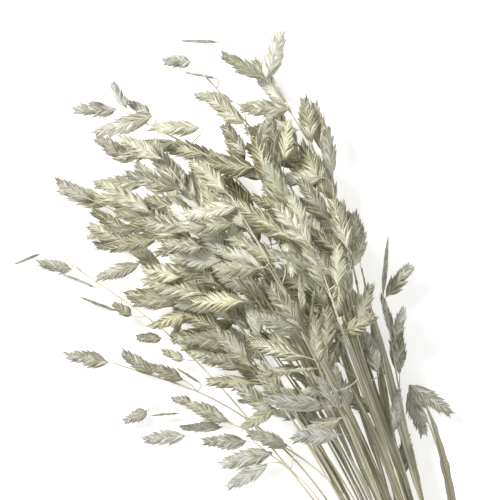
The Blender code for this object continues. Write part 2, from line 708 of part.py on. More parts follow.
def culm_mesh(bm, stem):
    points = stem["culm"]
    rings = [diamond(point, side, face, culm_radius(stem, point), culm_radius(stem, point))
             for point, (side, face) in zip(points, ring_frames(points))]
    skin(bm, rings)


def outline_width(share):
    """Half width of a spikelet over its length as a share of its widest: a wedge, a belly, a long taper."""
    if share < BELLY_AT:
        return NECK_WIDTH + (1 - NECK_WIDTH) * math.sin(share / BELLY_AT * math.pi / 2) ** 0.9
    return 1.0 - END_NARROWING * ((share - BELLY_AT) / (1 - BELLY_AT)) ** 1.6


def spikelet_mesh(bm, piece):
    """A stalk that opens into a flat spikelet: two rows of pointed florets along a raised middle."""
    base, along_axis = piece["base"], piece["direction"]
    side, face, length = piece["side"], piece["face"], piece["length"]
    half = half_width(length)
    pairs = FLORET_PAIRS
    if length >= LARGE_FROM:
        pairs = FLORET_PAIRS_LARGE
    elif length < SMALL_BELOW:
        pairs = FLORET_PAIRS_SMALL
    pitch = 0.88 * length / (pairs + 1)

    def spot(distance, across, up):
        return base + along_axis * distance + side * across + face * up

    stalk = piece["stalk"]
    rings = []
    carried = side
    for point, ahead in zip(reversed(stalk[:-1]), reversed([b - a for a, b in zip(stalk, stalk[1:])])):
        ahead = ahead.normalized()
        carried = (carried - ahead * carried.dot(ahead)).normalized()
        rings.append(triangle(point, carried, carried.cross(ahead), STALK_RADIUS * STALK_ROOT))
    rings.reverse()
    rings.append(triangle(base, side, face, STALK_RADIUS * STALK_END))
    made = [[bm.verts.new(point) for point in ring] for ring in rings]
    for near, far in zip(made, made[1:]):
        for turn in range(3):
            after = (turn + 1) % 3
            bm.faces.new((near[turn], near[after], far[after], far[turn]))
    bm.faces.new(list(reversed(made[0])))

    right, top, left = made[-1]
    crest = {1: top, -1: None}
    notch = {1: right, -1: left}
    for pair in range(pairs):
        start = pair * pitch
        last = pair == pairs - 1
        middle = start + pitch
        rise = SPIKELET_CREST * (1.0 if pair < pairs - 1 else 0.75)
        next_crest = {up: bm.verts.new(spot(middle, 0, up * rise)) for up in (1, -1)}
        for hand in (1, -1):
            ahead = start + pitch * 1.3
            tip_at = start + pitch * (1.95 if hand > 0 else 1.7)
            wide = half * outline_width(min(tip_at / length, 1.0))
            inner = half * outline_width(min(ahead / length, 1.0)) * NOTCH_DEPTH * (0.75 if last else 1.0)
            tip = bm.verts.new(spot(tip_at, hand * wide, hand * 0.25 * MM))
            after = bm.verts.new(spot(ahead, hand * inner, 0))
            for up in (1, -1):
                start_point = crest[up] or notch[hand]
                loops = [(start_point, tip, after), (start_point, after, next_crest[up])]
                if crest[up]:
                    loops.append((crest[up], notch[hand], tip))
                for loop in loops:
                    bm.faces.new(loop if up * hand > 0 else tuple(reversed(loop)))
            notch[hand] = after
        if crest[-1] is None:
            bm.faces.new((left, right, next_crest[-1]))
        crest = next_crest
    point = bm.verts.new(spot(length, 0, 0))
    for hand in (1, -1):
        for up in (1, -1):
            loop = (crest[up], notch[hand], point)
            bm.faces.new(loop if up * hand > 0 else tuple(reversed(loop)))


def leaf_mesh(bm, leaf):
    """A long folded blade, widest low down, whose edges stand a little above its rib."""
    side, face, points = leaf["side"], leaf["face"], leaf["points"]
    rings = []
    for point, wide in zip(points, LEAF_WIDTHS):
        half = LEAF_WIDTH / 2 * wide
        lift = face * half * LEAF_FOLD
        rings.append([point + side * half + lift, point + face * LEAF_CREST, point - side * half + lift,
                      point - face * LEAF_CREST])
    skin(bm, rings, closed_tip=points[4])


def build_object(name, fill, material):
    mesh = bpy.data.meshes.new(name)
    bm = bmesh.new()
    fill(bm)
    bmesh.ops.recalc_face_normals(bm, faces=bm.faces)
    bmesh.ops.triangulate(bm, faces=bm.faces)
    bm.to_mesh(mesh)
    bm.free()
    mesh.materials.append(material)
    thing = bpy.data.objects.new(name, mesh)
    bpy.context.scene.collection.objects.link(thing)
    return thing


def fuse(host, pieces):
    """One Boolean union of the host with a collection of pieces, applied."""
    group = bpy.data.collections.new(host.name + "_pieces")
    bpy.context.scene.collection.children.link(group)
    for piece in pieces:
        bpy.context.scene.collection.objects.unlink(piece)
        group.objects.link(piece)
    union = host.modifiers.new("union", "BOOLEAN")
    union.operation = "UNION"
    union.operand_type = "COLLECTION"
    union.collection = group
    union.solver = "MANIFOLD"
    graph = bpy.context.evaluated_depsgraph_get()
    fused = bpy.data.meshes.new_from_object(host.evaluated_get(graph))
    host.modifiers.clear()
    host.data = fused
    for piece in list(group.objects):
        bpy.data.objects.remove(piece, do_unlink=True)
    bpy.data.collections.remove(group)


def keep_main_body(thing):
    """Drops loose scraps and sealed hollows that fusing leaves: all but the body with the most vertices."""
    bm = bmesh.new()
    bm.from_mesh(thing.data)
    waiting = set(bm.verts)
    bodies = []
    while waiting:
        body, edge = set(), {waiting.pop()}
        while edge:
            vert = edge.pop()
            body.add(vert)
            for link in vert.link_edges:
                other = link.other_vert(vert)
                if other in waiting:
                    waiting.discard(other)
                    edge.add(other)
        bodies.append(body)
    bodies.sort(key=len)
    scraps = [vert for body in bodies[:-1] for vert in body]
    if scraps:
        bmesh.ops.delete(bm, geom=scraps, context="VERTS")
        bm.to_mesh(thing.data)
    bm.free()


def cut_at_floor(thing):
    """Trims what dips below the surface, which leaves a small flat spot to rest on."""
    bm = bmesh.new()
    bm.from_mesh(thing.data)
    if min(vert.co.z for vert in bm.verts) < 0:
        whole = list(bm.verts) + list(bm.edges) + list(bm.faces)
        bmesh.ops.bisect_plane(bm, geom=whole, dist=1e-7, plane_co=(0, 0, 0), plane_no=(0, 0, 1),
                               clear_inner=True)
        rim = [edge for edge in bm.edges if edge.is_boundary]
        bmesh.ops.edgeloop_fill(bm, edges=rim)
        bmesh.ops.triangulate(bm, faces=bm.faces)
        bm.to_mesh(thing.data)
    bm.free()


def make_stem(stem, material):
    host = build_object(stem["name"], lambda bm: culm_mesh(bm, stem), material)
    pieces = []
    for number, spikelet in enumerate(stem["spikelets"]):
        name = f"{stem['name']}_spikelet_{number}"
        pieces.append(build_object(name, lambda bm, piece=spikelet: spikelet_mesh(bm, piece), material))
    if stem["leaf"]:
        pieces.append(build_object(stem["name"] + "_leaf", lambda bm: leaf_mesh(bm, stem["leaf"]), material))
    if pieces:
        fuse(host, pieces)
        keep_main_body(host)
    cut_at_floor(host)
    return host


def make_tie(radius, centre, material):
    """A flat-sided band round the bundle, whose lowest side lies on the surface."""
    inner = radius + TIE_GAP
    outer = centre

    def fill(bm):
        rings = []
        for y, reach in ((-0.5, inner), (-0.5, outer), (0.5, outer), (0.5, inner)):
            ring = []
            for side in range(TIE_SIDES):
                angle = math.tau * (side + 0.5) / TIE_SIDES - math.pi / 2
                corner = reach / math.cos(math.pi / TIE_SIDES)
                ring.append(bm.verts.new((corner * math.cos(angle), TIE_Y + y * TIE_WIDTH,
                                          centre + corner * math.sin(angle))))
            rings.append(ring)
        for near, far in zip(rings, rings[1:] + rings[:1]):
            for side in range(TIE_SIDES):
                after = (side + 1) % TIE_SIDES
                bm.faces.new((near[side], near[after], far[after], far[side]))

    return build_object("tie", fill, material)


def centre_on_floor(things):
    """Moves the bunch so that the middle of its box, at the bottom, is the origin."""
    corners = [vert.co for thing in things for vert in thing.data.vertices]
    low = Vector([min(corner[axis] for corner in corners) for axis in range(3)])
    high = Vector([max(corner[axis] for corner in corners) for axis in range(3)])
    shift = Vector((-(low.x + high.x) / 2, -(low.y + high.y) / 2, -low.z))
    for thing in things:
        for vert in thing.data.vertices:
            vert.co += shift


def main():
    clear_scene()
    stems, radius, centre = lay_out()
    straw = make_material("straw", STRAW, 0.6)
    tie_beige = make_material("tie_beige", TIE_BEIGE, 0.85)
    things = [make_stem(stem, straw) for stem in stems]
    things.append(make_tie(radius, centre, tie_beige))
    centre_on_floor(things)


main()
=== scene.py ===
"""Dried northern sea oats: a tied bunch of flowering stems, lying on a pale surface.

Each stem of the frame is dressed with finer pieces on the same routes: a jointed culm with thin stalks,
flat spikelets of many folded husks, and on some a folded blade and dry sheaths. A wound elastic band takes
the place of the tie.
"""

import math
import random

import bmesh
import bpy
from mathutils import Matrix, Vector, kdtree
from mathutils.bvhtree import BVHTree


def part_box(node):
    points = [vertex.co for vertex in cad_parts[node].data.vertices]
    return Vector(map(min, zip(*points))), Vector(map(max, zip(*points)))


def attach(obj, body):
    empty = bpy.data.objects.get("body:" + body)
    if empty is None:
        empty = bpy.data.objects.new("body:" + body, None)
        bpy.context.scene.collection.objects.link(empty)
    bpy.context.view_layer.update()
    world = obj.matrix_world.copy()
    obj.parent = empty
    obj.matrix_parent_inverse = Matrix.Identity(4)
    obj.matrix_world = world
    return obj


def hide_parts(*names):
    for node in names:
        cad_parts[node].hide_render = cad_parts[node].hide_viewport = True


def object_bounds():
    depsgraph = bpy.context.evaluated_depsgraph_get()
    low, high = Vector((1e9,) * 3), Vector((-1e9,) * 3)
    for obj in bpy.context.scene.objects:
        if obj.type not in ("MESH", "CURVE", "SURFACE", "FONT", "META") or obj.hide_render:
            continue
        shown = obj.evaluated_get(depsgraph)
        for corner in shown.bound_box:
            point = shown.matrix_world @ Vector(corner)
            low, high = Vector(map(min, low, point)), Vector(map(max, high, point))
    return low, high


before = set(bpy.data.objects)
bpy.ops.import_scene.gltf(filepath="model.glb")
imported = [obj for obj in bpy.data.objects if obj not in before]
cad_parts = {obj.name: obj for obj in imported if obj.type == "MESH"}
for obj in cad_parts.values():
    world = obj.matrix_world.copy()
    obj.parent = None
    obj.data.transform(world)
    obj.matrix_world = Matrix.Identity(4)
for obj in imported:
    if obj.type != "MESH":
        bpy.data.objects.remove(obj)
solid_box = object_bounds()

MM = 0.001
NEAR_ZERO = 1e-6
SEED = 16

# The bundle at the tie
TIE_Y = 110 * MM
TIE_WALL = 1.8 * MM
TIE_GAP = 0.35 * MM
TIE_STRAIGHT = 0.25
PITCH = 2.5 * MM
BUNDLE_REACH = 6
CUT_END_SPREAD = 1.35
CUT_END_STAGGER = 9 * MM
CUT_END_LIFT = 1.3

# Culms
CULM_RADIUS = 1.05 * MM
RACHIS_RADIUS = 0.62 * MM
CULM_TAPER = 1.4
CULM_SPARE = 0.3 * MM
CULM_POINTS = 9
FAN_Y = 330 * MM
FAN_RISE = 2.3
FAN_FLOOR = 5 * MM
ARCH_SHARE = 0.55
ARCH_RISE = 0.65
SAMPLE_STEP = 9 * MM
CLEAR_AT_TIE = 2.45 * MM
CLEAR_IN_HEAD = 5.2 * MM
FREE_FROM_Y = 1.12 * TIE_Y
FREE_AT_Y = 0.85 * FAN_Y
RELAX_ROUNDS = 60
RELAX_SMOOTHING = 0.35

# Stalks and spikelets
STALK_RADIUS = 0.42 * MM
STALK_END = 1.5
STALK_BEND = 0.45
BENT_STALK_FROM = 20 * MM
SPIKELET_LEAST_WIDTH = 5.6 * MM
SPIKELET_WIDENING = 0.22
SPIKELET_CREST = 1.15 * MM
NECK_WIDTH = 0.2
BELLY_AT = 0.42
END_NARROWING = 0.62
BELLY_POWER = 0.9
TAPER_POWER = 1.6
FLOOR_CUT = 0.45 * MM

# How a spikelet looks for room: each try strays further from the wanted place, up to these turns in radians
# and this shift, and the first tries also keep it clear of its own stem's spikelets.
PLACE_TRIES = 70
STRICT_TRIES = 50
STRAY_HEADING = 0.5
STRAY_RISE = 0.7
STRAY_ROLL = 1.1
STRAY_SHIFT = 7 * MM
STRAY_HEIGHT = 18 * MM
SPARE_WIDTH = 1.03
SPARE_DEPTH = 1.5 * MM
SPARE_HEIGHT = 0.8 * MM
SPARE_STALK = 2

# The stand-in of a spikelet or blade: its rings as (how far up it, how deep), how wide a spikelet's ends are,
# and the shares of a spikelet's length at which its lowest point is looked for
STAND_IN_RINGS = ((-0.02, 0.6), (0.3, 1.0), (0.72, 1.0), (1.03, 0.6))
SPIKELET_END = 0.26
LOW_SHARES = (0.05, 0.35, 0.7, 1.0)

# Spikelets set by the rule: angles in degrees, sizes in millimetres. They turn left of their stem's heading.
RULED_TURN = 30
RULED_HANDS = 24
RULED_STRAY = 13
RULED_RISE = 0.3
RULED_ROLL = 34
RULED_LENGTH = (34, 45)
RULED_REACH = (6, 12)
RULED_STEP = (15, 23)
RULED_LIFT = (-3, 4)
END_TURN = 16
END_REACH = 5
DRAWN_RISE = (-0.16, 0.22)
DRAWN_LIFT = (-3, 5)
DRAWN_ROLL = 28
EDGE_ON_ROLL = 84
STALK_BACK = 0.55
STALK_BACK_MORE = 2 * MM
STALK_BEHIND = 1.5 * MM
STEM_REACH = 20 * MM
MOST_TOPMOST = 5

# Leaf blades
LEAF_WIDTH = 8.4 * MM
LEAF_SHARES = (0.0, 0.25, 0.5, 0.75, 1.0)
LEAF_TRIES = 45
LEAF_START = (225, 345)
LEAF_LENGTH = (115, 180)
LEAF_LEAN = (4, 11)
LEAF_SIDE = (0.1, 0.9)
LEAF_OUT_FIRST = 0.1
LEAF_OUT_MORE = 1.2
LEAF_OUT_POWER = 1.4
LEAF_ROLL = 32
LEAF_ROOT_WIDTH = 0.4
LEAF_DEPTH = 1.3 * MM
LEAF_ROOT_BACK = 3 * MM
LEAF_STEM_SHARE = 0.6
LEAF_TIP_LEVEL = 0.8

# Stems whose shape and spikelets are set one by one, all in millimetres on the plan: name, plan points past
# the fan, height of the tip, spikelets as (base x, base y, tip x, tip y, turned on edge).
DRAWN_STEMS = (
    ("far_left_chain", ((-29, 344), (-37, 378), (-47, 410), (-60, 448), (-70, 491), (-94, 537), (-110, 567),
                        (-125, 584)), 12,
     ((-125, 579, -147, 595, 0), (-142, 600, -163, 600, 1), (-115, 559, -132, 580, 1),
      (-108, 536, -129, 557, 1), (-98, 528, -108, 543, 0), (-85, 503, -103, 511, 0), (-78, 495, -68, 508, 0),
      (-76, 481, -89, 494, 0))),
    ("lower_left_nod", ((-20, 340), (-23, 358), (-34, 390), (-43, 418), (-53, 439), (-73, 459), (-103, 483),
                        (-126, 500)), 6,
     ((-131, 503, -159, 523, 0), (-102, 480, -116, 507, 0), (-84, 467, -103, 488, 0),
      (-73, 459, -84, 476, 1))),
    ("left_cluster", ((-10, 335), (-14, 368), (-17, 395), (-21, 422), (-25, 440), (-32, 453)), 22,
     ((-41, 464, -70, 485, 0), (-24, 439, -48, 467, 0), (-32, 440, -62, 468, 0), (-24, 428, -48, 450, 0),
      (-30, 420, -51, 440, 1))),
    ("left_bend", ((-1, 331), (-6, 371), (-15, 404), (-26, 438), (-32, 465), (-36, 481)), 27,
     ((-39, 487, -63, 517, 0), (-37, 482, -69, 498, 0), (6, 495, -38, 485, 0))),
    ("low_spray", ((-5, 333), (-7, 355), (-15, 370), (-30, 397), (-46, 413), (-63, 423), (-82, 438)), 9,
     ((-66, 425, -89, 451, 0), (-72, 422, -102, 437, 0), (-101, 427, -133, 438, 0), (-98, 445, -117, 453, 1),
      (-118, 458, -138, 460, 0), (-85, 449, -98, 458, 0))),
    ("lowest_spray", ((-26, 343), (-30, 368), (-33, 386), (-44, 396), (-55, 403)), 15,
     ((-33, 388, -58, 413, 0), (-59, 405, -90, 419, 0), (-45, 389, -86, 398, 0), (-52, 383, -88, 380, 0))),
    ("short_middle", ((14, 324), (18, 360), (21, 387), (21, 399)), 50,
     ((19, 402, -10, 416, 0), (16, 398, -24, 405, 0))),
    ("right_droop", ((67, 300), (72, 322), (76, 351), (75, 377), (72, 390)), 14,
     ((71, 391, 93, 359, 0), (71, 388, 75, 349, 0))),
    ("right_fork", ((44, 310), (50, 345), (59, 386), (70, 422), (81, 457)), 20,
     ((83, 460, 112, 474, 0), (81, 462, 103, 501, 1), (72, 425, 75, 464, 1), (73, 419, 86, 450, 1))),
    ("right_edge", ((31, 316), (41, 361), (54, 405), (65, 449), (76, 487)), 7,
     ((77, 492, 89, 530, 0), (65, 451, 61, 476, 0), (56, 410, 55, 446, 0))),
    ("top_right", ((24, 320), (38, 379), (57, 445), (78, 517), (82, 553), (83, 583), (77, 617),
                   (71, 643)), 34,
     ((69, 646, 96, 675, 0), (67, 649, 47, 678, 0), (75, 625, 62, 649, 0), (76, 619, 41, 636, 0),
      (74, 602, 38, 618, 0), (80, 589, 89, 623, 0), (85, 579, 95, 617, 0), (85, 557, 95, 596, 0),
      (48, 687, 24, 700, 1))),
    ("thin_arch", ((26, 319), (42, 394), (50, 456), (55, 520), (53, 570), (48, 608), (42, 635), (36, 659),
                   (25, 678)), 46,
     ((23, 681, 4, 691, 0), (36, 660, 20, 676, 1), (51, 576, 38, 609, 0))),
    ("top_middle", ((21, 321), (28, 376), (40, 453), (45, 525), (40, 573), (36, 603), (39, 628)), 60,
     ((39, 640, 14, 657, 0), (37, 619, 18, 651, 0), (31, 600, 23, 628, 0), (34, 579, 18, 604, 0))),
    ("top_left", ((8, 327), (15, 381), (23, 452), (28, 516), (25, 571), (20, 601), (8, 635), (-14, 657),
                  (-39, 670)), 48,
     ((-42, 672, -73, 686, 0), (-20, 656, -65, 662, 0), (-20, 659, -33, 674, 0), (8, 635, -26, 654, 0),
      (-14, 632, -54, 638, 0), (4, 614, -27, 638, 0))),
    ("left_edge", ((2, 330), (2, 379), (0, 438), (-11, 485), (-31, 523), (-46, 552), (-58, 579), (-68, 598),
                   (-77, 611)), 12,
     ((-78, 612, -111, 640, 0), (-89, 620, -106, 645, 0), (-72, 581, -93, 614, 0), (-69, 575, -104, 590, 0),
      (-57, 577, -74, 604, 0), (-52, 590, -80, 624, 0))),
)

# Stems of the dense head, which all nod one way: place across the fan, tip x, tip y, height of the tip in
# millimetres, and how many spikelets the rule sets on them.
NODDING_STEMS = (
    (6, -46, 630, 36, 5), (-8, -74, 576, 26, 5), (-13, -54, 534, 22, 5), (14, -24, 615, 80, 6),
    (17, -16, 595, 52, 5), (3, -48, 588, 58, 6), (22, 8, 576, 94, 6), (0, -40, 562, 42, 5),
    (9, -16, 553, 76, 6), (-6, -34, 513, 18, 5), (20, 11, 546, 32, 5), (36, 70, 586, 28, 5),
    (41, 74, 544, 52, 5), (33, 46, 550, 68, 6), (34, 47, 516, 92, 6), (17, 10, 509, 58, 5),
    (39, 57, 495, 74, 6), (15, 13, 466, 86, 5), (35, 48, 460, 52, 5),
)
NOD_POWER = 1.9
NOD_SHARES = (0.0, 0.3, 0.55, 0.75, 0.9, 1.0)

# The topmost spikelets of the dense head, each on the highest stem near its base, as the drawn ones in
# millimetres: base x, base y, tip x, tip y.
TOPMOST = (
    (29, 588, -16, 609), (9, 568, -30, 578), (-25, 600, -26, 638), (-20, 594, -22, 621), (-28, 567, -59, 589),
    (-13, 542, -19, 574), (35, 529, 10, 569), (75, 562, 43, 574), (49, 577, 42, 611), (73, 573, 57, 595),
    (70, 521, 52, 558), (40, 549, 21, 571), (35, 544, 41, 587), (44, 520, 47, 561), (69, 504, 75, 546),
    (-34, 532, -51, 567), (-40, 520, -75, 544), (-51, 539, -75, 557), (21, 519, -11, 548), (30, 533, 25, 504),
    (16, 488, -4, 511), (13, 471, -7, 488), (67, 500, 45, 531), (52, 490, 46, 515), (56, 490, 39, 467),
    (37, 452, 68, 454), (36, 449, 13, 430), (35, 374, 35, 424), (36, 357, 28, 384), (51, 416, 48, 449),
    (71, 426, 85, 447), (28, 593, 30, 628),
)

# Drawn stems that also carry spikelets set by the rule: how many, and how far back from the tip they start.
MORE_SPIKELETS = {"top_left": (4, 96), "thin_arch": (5, 122), "top_middle": (4, 72), "left_edge": (3, 104),
                  "top_right": (3, 112), "left_bend": (2, 34), "left_cluster": (1, 40),
                  "short_middle": (2, 12), "right_fork": (2, 66), "right_edge": (2, 96)}

# Stems that keep a leaf blade, in the order in which these find room, and the blades whose start along the
# bunch and length are set, in millimetres.
LEAFY = ("right_droop", "right_fork", "nodding_17", "nodding_15", "nodding_19", "nodding_13", "top_right",
         "right_edge", "thin_arch", "short_middle", "nodding_14", "top_middle", "nodding_12", "nodding_18",
         "nodding_07", "nodding_16", "nodding_09", "nodding_04", "nodding_11", "nodding_05", "left_cluster")
SET_LEAVES = {"right_droop": (248, 112), "right_fork": (262, 172)}

# Spikelets that touch the surface, as (stem, number of its spikelet): they carry the head.
FEET = (("left_edge", 3), ("right_edge", 0), ("low_spray", 2), ("lower_left_nod", 0))

# Small spikelets between the others, which only fill the dense head: how many are tried on a stem, and what
# each is drawn from, in millimetres, degrees and, for its rise, radians
FILLERS_NODDING = 5
FILLERS_DRAWN = {"top_left": 3, "left_edge": 3, "top_middle": 3, "thin_arch": 2, "top_right": 3,
                 "left_bend": 2}
FILLER_BACK = (6, 150)
FILLER_TURN = 22
FILLER_STRAY = 56
FILLER_RISE = 0.4
FILLER_REACH = (7, 15)
FILLER_LIFT = (-5, 6)
FILLER_ROLL = 60
FILLER_LENGTH = (26, 37)
FILLER_BELOW_TOP = 4 * MM

# One husk, a unit long: its section from the keel to the thick inner margin as (across, how far it stands
# out), its form over its length, and how far each kind of husk curls and cups
HUSK_SECTION = ((-0.8, 0.0), (-0.35, 0.52), (0.35, 0.86), (1.0, 0.95), (0.9, 0.0))
HUSK_SIDES = 8
HUSK_BANDS = 6
HUSK_WIDTH = 0.25
HUSK_DEPTH = 0.078
HUSK_WIDEST = 0.70
HUSK_POINTED = 1.75
CURL_POWER = 2.2
DEPTH_POWER = 0.8
HUSK_BENDS = ((0.01, 0.0), (0.03, 0.012), (0.05, 0.0), (0.02, 0.02))

# How husks make a spikelet, as shares of its length, with angles in degrees and its bend in millimetres.
# A stout spikelet has broader and thicker husks than a slim one.
HUSK_PITCH = 3.15 * MM
LEAST_HUSKS = 8
FULLER = (1.0, 1.12)
SLIM_HALF = 0.17
STOUT_WIDTH = 1.35
STOUT_DEPTH = 1.2
STOUT_LENGTH = 0.2
FIRST_HUSK = 0.015
HUSKS_REACH = 0.77
HUSK_SHARE = 0.44
HUSK_BELLY = 0.04
BELLY_UP_TO = 2 / 3
HUSK_SHORTER_UP = 0.22
HUSK_UNEVEN = (0.88, 1.12)
TIP_AT = 0.85
TIP_INSIDE = 0.3 * MM
HUSK_LEAN = (0.1, 0.8)
LEAN_STRAY = 4.5
HUSK_ROLL = 7
AXIS_HALF = 0.25 * MM
END_HUSK_AT = 0.79
END_HUSK_SIZE = 0.215
BRACT_LEAN = (9, 15)
BRACT_BELOW = 0.6 * MM
BRACT_SIZE = 0.19
SPIKELET_ARCH = (-1.0, 1.2)
SPIKELET_SWEEP = (-0.9, 0.9)
TABLE_SKIN = 0.05 * MM

# What each husk carries for its finish, by whether its spikelet lies in or out of the head and high or low:
# high ones get painted light and low ones painted shade
HUSK_LAYERS = ("tone", "warmth", "green")
HEAD_MIDDLE = Vector((5, 525)) * MM
HEAD_REACH = 75 * MM
PAINTED_LIGHT_LEVEL = 45 * MM
TONE = (0.63, 0.14)
TONE_STRAY = 0.07
PAINTED_LIGHT_BY_HEIGHT = 0.08
TONE_LOST_OUTSIDE = 0.05
LEAST_TONE = 0.36
LEAST_TONE_OUTSIDE = 0.16
MOST_TONE = 0.84
BRACT_DARKER = 0.12
WARMTH = (0.42, 1.0)
COOLER_OUTSIDE = 0.8
GREEN_CHANCE = 0.03
GREEN = (0.3, 0.6)

# Dressed culms and stalks: joints in millimetres along the culm, its ripple as (how quick, how high), and the
# hollow of the cut foot
TUBE_LAYERS = ("joint", "light")
TUBES = {}
CULM_FINENESS = 7
CULM_STEPS = 60
CULM_SIDES = 8
CULM_SHRINKING = 0.9
CULM_RIPPLE = (37, 0.05)
RIPPLE_BY_STEM = 900
ENDS_CLEAR = 0.002
FIRST_JOINT = (30, 90)
JOINT_STEP = (85, 125)
JOINT_FREE_END = 130 * MM
JOINT_RINGS = (-3.2, -1.5, -0.5, 0.5, 1.5, 3.2)
JOINT_SWELL = 0.42
JOINT_HALF = 1.6 * MM
JOINT_STAIN = 4.5 * MM
FOOT_WALL = 0.28 * MM
FOOT_HOLLOW = 0.9 * MM
STALK_STEPS = 9
STALK_SIDES = 5
STALK_SAG = 0.03
STALK_THIN = 0.30 * MM
STALK_ROOT_MORE = 0.20 * MM
STALK_NECK = (0.38 * MM, 0.55 * MM)
STALK_INTO_HUSKS = 0.8 * MM

# Dressed blades: widths as shares of the leaf's width, angles in degrees, waves as (how quick, how high)
LEAF_WALL = 0.2 * MM
BLADE_GRID = (44, 6)
BLADE_FINENESS = 10
BLADE_SHARE = (0.66, 0.92)
BLADE_FOLD = (14, 50)
BLADE_TWIST = 30
BLADE_LOOK = 0.02
BLADE_ROOT = 0.3
BLADE_SPREADING = 3.4
BLADE_TAPERS_AT = 0.5
BLADE_TAPER = 0.8
BLADE_WAVER = (23, 0.07)
BLADE_CRINKLES = ((47, 0.11), (97, 0.05))
CRINKLE_SLANT = 1.6
BLADE_TIP = 0.2 * MM
FOLD_SUNK = 0.3

# Dry sheaths: where they start and how long they are in millimetres, on which stems, and how loosely they sit
SHEATH_GRID = (26, 10)
SHEATH_STARTS = ((215, 275), (330, 400))
SHEATH_LENGTH = (70, 120)
SHEATH_FREE_END = 25 * MM
SHEATH_FROM_X = 10 * MM
SHEATH_CHANCE_RIGHT = 0.8
SHEATH_CHANCE_LEFT = 0.25
SHEATH_BELOW_BLADE = 75 * MM
LOWEST_SHEATH = 10 * MM
BLADE_SHEATH = 80 * MM
SHEATH_LOOSE = (1.35, 1.75)
SHEATH_SLANT = 0.5
SHEATH_OPENS_AT = 0.6
SHEATH_WRAP = 0.93
SHEATH_UNWRAP = 0.38
SHEATH_TIGHT = 0.28
SHEATH_FLARE = 0.5
# Its ripple as (how quick, how high)
SHEATH_RIPPLE = (9, 0.05)
RIPPLE_BY_FACING = 7
SHEATH_WIDENING = 4
TORN_SHARE = 0.22
TORN_POWER = 1.4

# The band: a round strand wound side by side, and a turn that crosses the others on top, in degrees
BAND_STRAND = 0.86 * MM
BAND_SIDES = 8
BAND_TURNS = 4
BAND_STEPS = 48
BAND_WIDTH = 6.1 * MM
CROSSING_STEPS = 32
CROSSING_FROM = 40
CROSSING_TURN = 100
CROSSING_WIDTH = 7.0 * MM
CROSSING_HUMP = 1.55 * MM

# Colours
OLIVE_SHADE = (0.17, 0.15, 0.085, 1)
KHAKI = (0.36, 0.34, 0.215, 1)
SILVER_STRAW = (0.58, 0.57, 0.43, 1)
CREAM = (0.85, 0.845, 0.715, 1)
SILVER_TINT = (0.985, 1.0, 1.20, 1)
GOLD_TINT = (1.01, 1.0, 0.87, 1)
DULL_TINT = (0.74, 0.725, 0.67, 1)
BRIGHT_TINT = (1.37, 1.37, 1.35, 1)
TIP_BROWN = (0.36, 0.31, 0.20, 1)
FRESH_GREEN = (0.41, 0.43, 0.18, 1)
STEM_GREY = (0.52, 0.50, 0.39, 1)
STEM_PALE = (0.77, 0.75, 0.61, 1)
STEM_DARK = (0.20, 0.175, 0.12, 1)
LEAF_DARK = (0.22, 0.20, 0.135, 1)
LEAF_BROWN = (0.35, 0.33, 0.235, 1)
JOINT_GREEN = (0.42, 0.43, 0.15, 1)
BAND_TAN = (0.58, 0.47, 0.31, 1)
BAND_DUST = (0.66, 0.58, 0.44, 1)
FLOOR_GREY = (0.78, 0.78, 0.775, 1)
WHITE = (1.0, 1.0, 1.0, 1)

# Finishes. Fibres: how many lines lie side by side and how often they break. Patches: how many to a metre.
# Surfaces: least roughness, how much more a mask adds, the relief's height and how strongly it shows.
FIBRE_NOISES = ((1.0, 1.0, 0.6), (2.6, 0.0, 0.4))
FIBRE_CONTRAST = (0.36, 0.64)
FIBRE_SEED_STEP = 31.0
PATCH_CONTRAST = (0.34, 0.66)
PATCH_DETAIL = 3.0
HUSK_FIBRES = {"Lines": 6.5, "Breaks": 1.0}
CULM_FIBRES = {"Lines": 16.0, "Breaks": 14.0}
LEAF_FIBRES = {"Seed": 0.7, "Lines": 16.0, "Breaks": 7.0}
HUSK_PATCHES = {"Patches": 75.0}
CULM_PATCHES = {"Patches": 38.0, "Seed": 3.0}
LEAF_PATCHES = {"Patches": 34.0, "Seed": 7.0}
BAND_PATCHES = {"Patches": 240.0, "Seed": 5.0}
HUSK_SURFACE = (0.30, 0.16, 0.4 * MM, 0.9)
CULM_SURFACE = (0.48, 0.15, 0.2 * MM, 0.5)
LEAF_SURFACE = (0.48, 0.15, 0.4 * MM, 0.8)
BAND_SURFACE = (0.62, 0.2, 0.1 * MM, 0.4)
HUSK_SPECULAR = 0.7
HUSK_SHEEN = 0.1
CULM_SPECULAR = 0.35
LEAF_SPECULAR = 0.3
BAND_SPECULAR = 0.3
FLOOR_SPECULAR = 0.2
FLOOR_ROUGHNESS = 0.8
FLOOR_GLOW = 0.55

# Shades of a husk: how far patches and fibres sway them, spans as (from, to, most), and, as (more on a golden
# spikelet, on any spikelet), the painted shadow taken off where a husk comes out from under the next one and
# what
# the margin gains: its own paleness on any spikelet and a painted highlight on the golden ones. A spikelet's
# warmth sets how strong that painted shadow and highlight are.
HUSK_STOPS = ((0.0, OLIVE_SHADE), (0.30, KHAKI), (0.62, SILVER_STRAW), (0.95, CREAM))
HUSK_PATCH_SHADE = 0.22
HUSK_FIBRE_SHADE = 0.80
PAINTED_LIGHT_WARMTH = (0.45, 0.95)
PAINTED_SHADOW_ACROSS = (0.84, 0.46)
PAINTED_SHADOW_UP = (0.95, 0.72)
PAINTED_SHADOW_DEPTH = (0.34, 0.20)
MARGIN_ACROSS = (0.76, 0.95)
MARGIN_PALENESS_AND_HIGHLIGHT = (0.24, 0.06)
TIP_SPAN = (0.86, 1.0, 0.35)
GREEN_SPAN = (0.9, 0.3, 0.75)

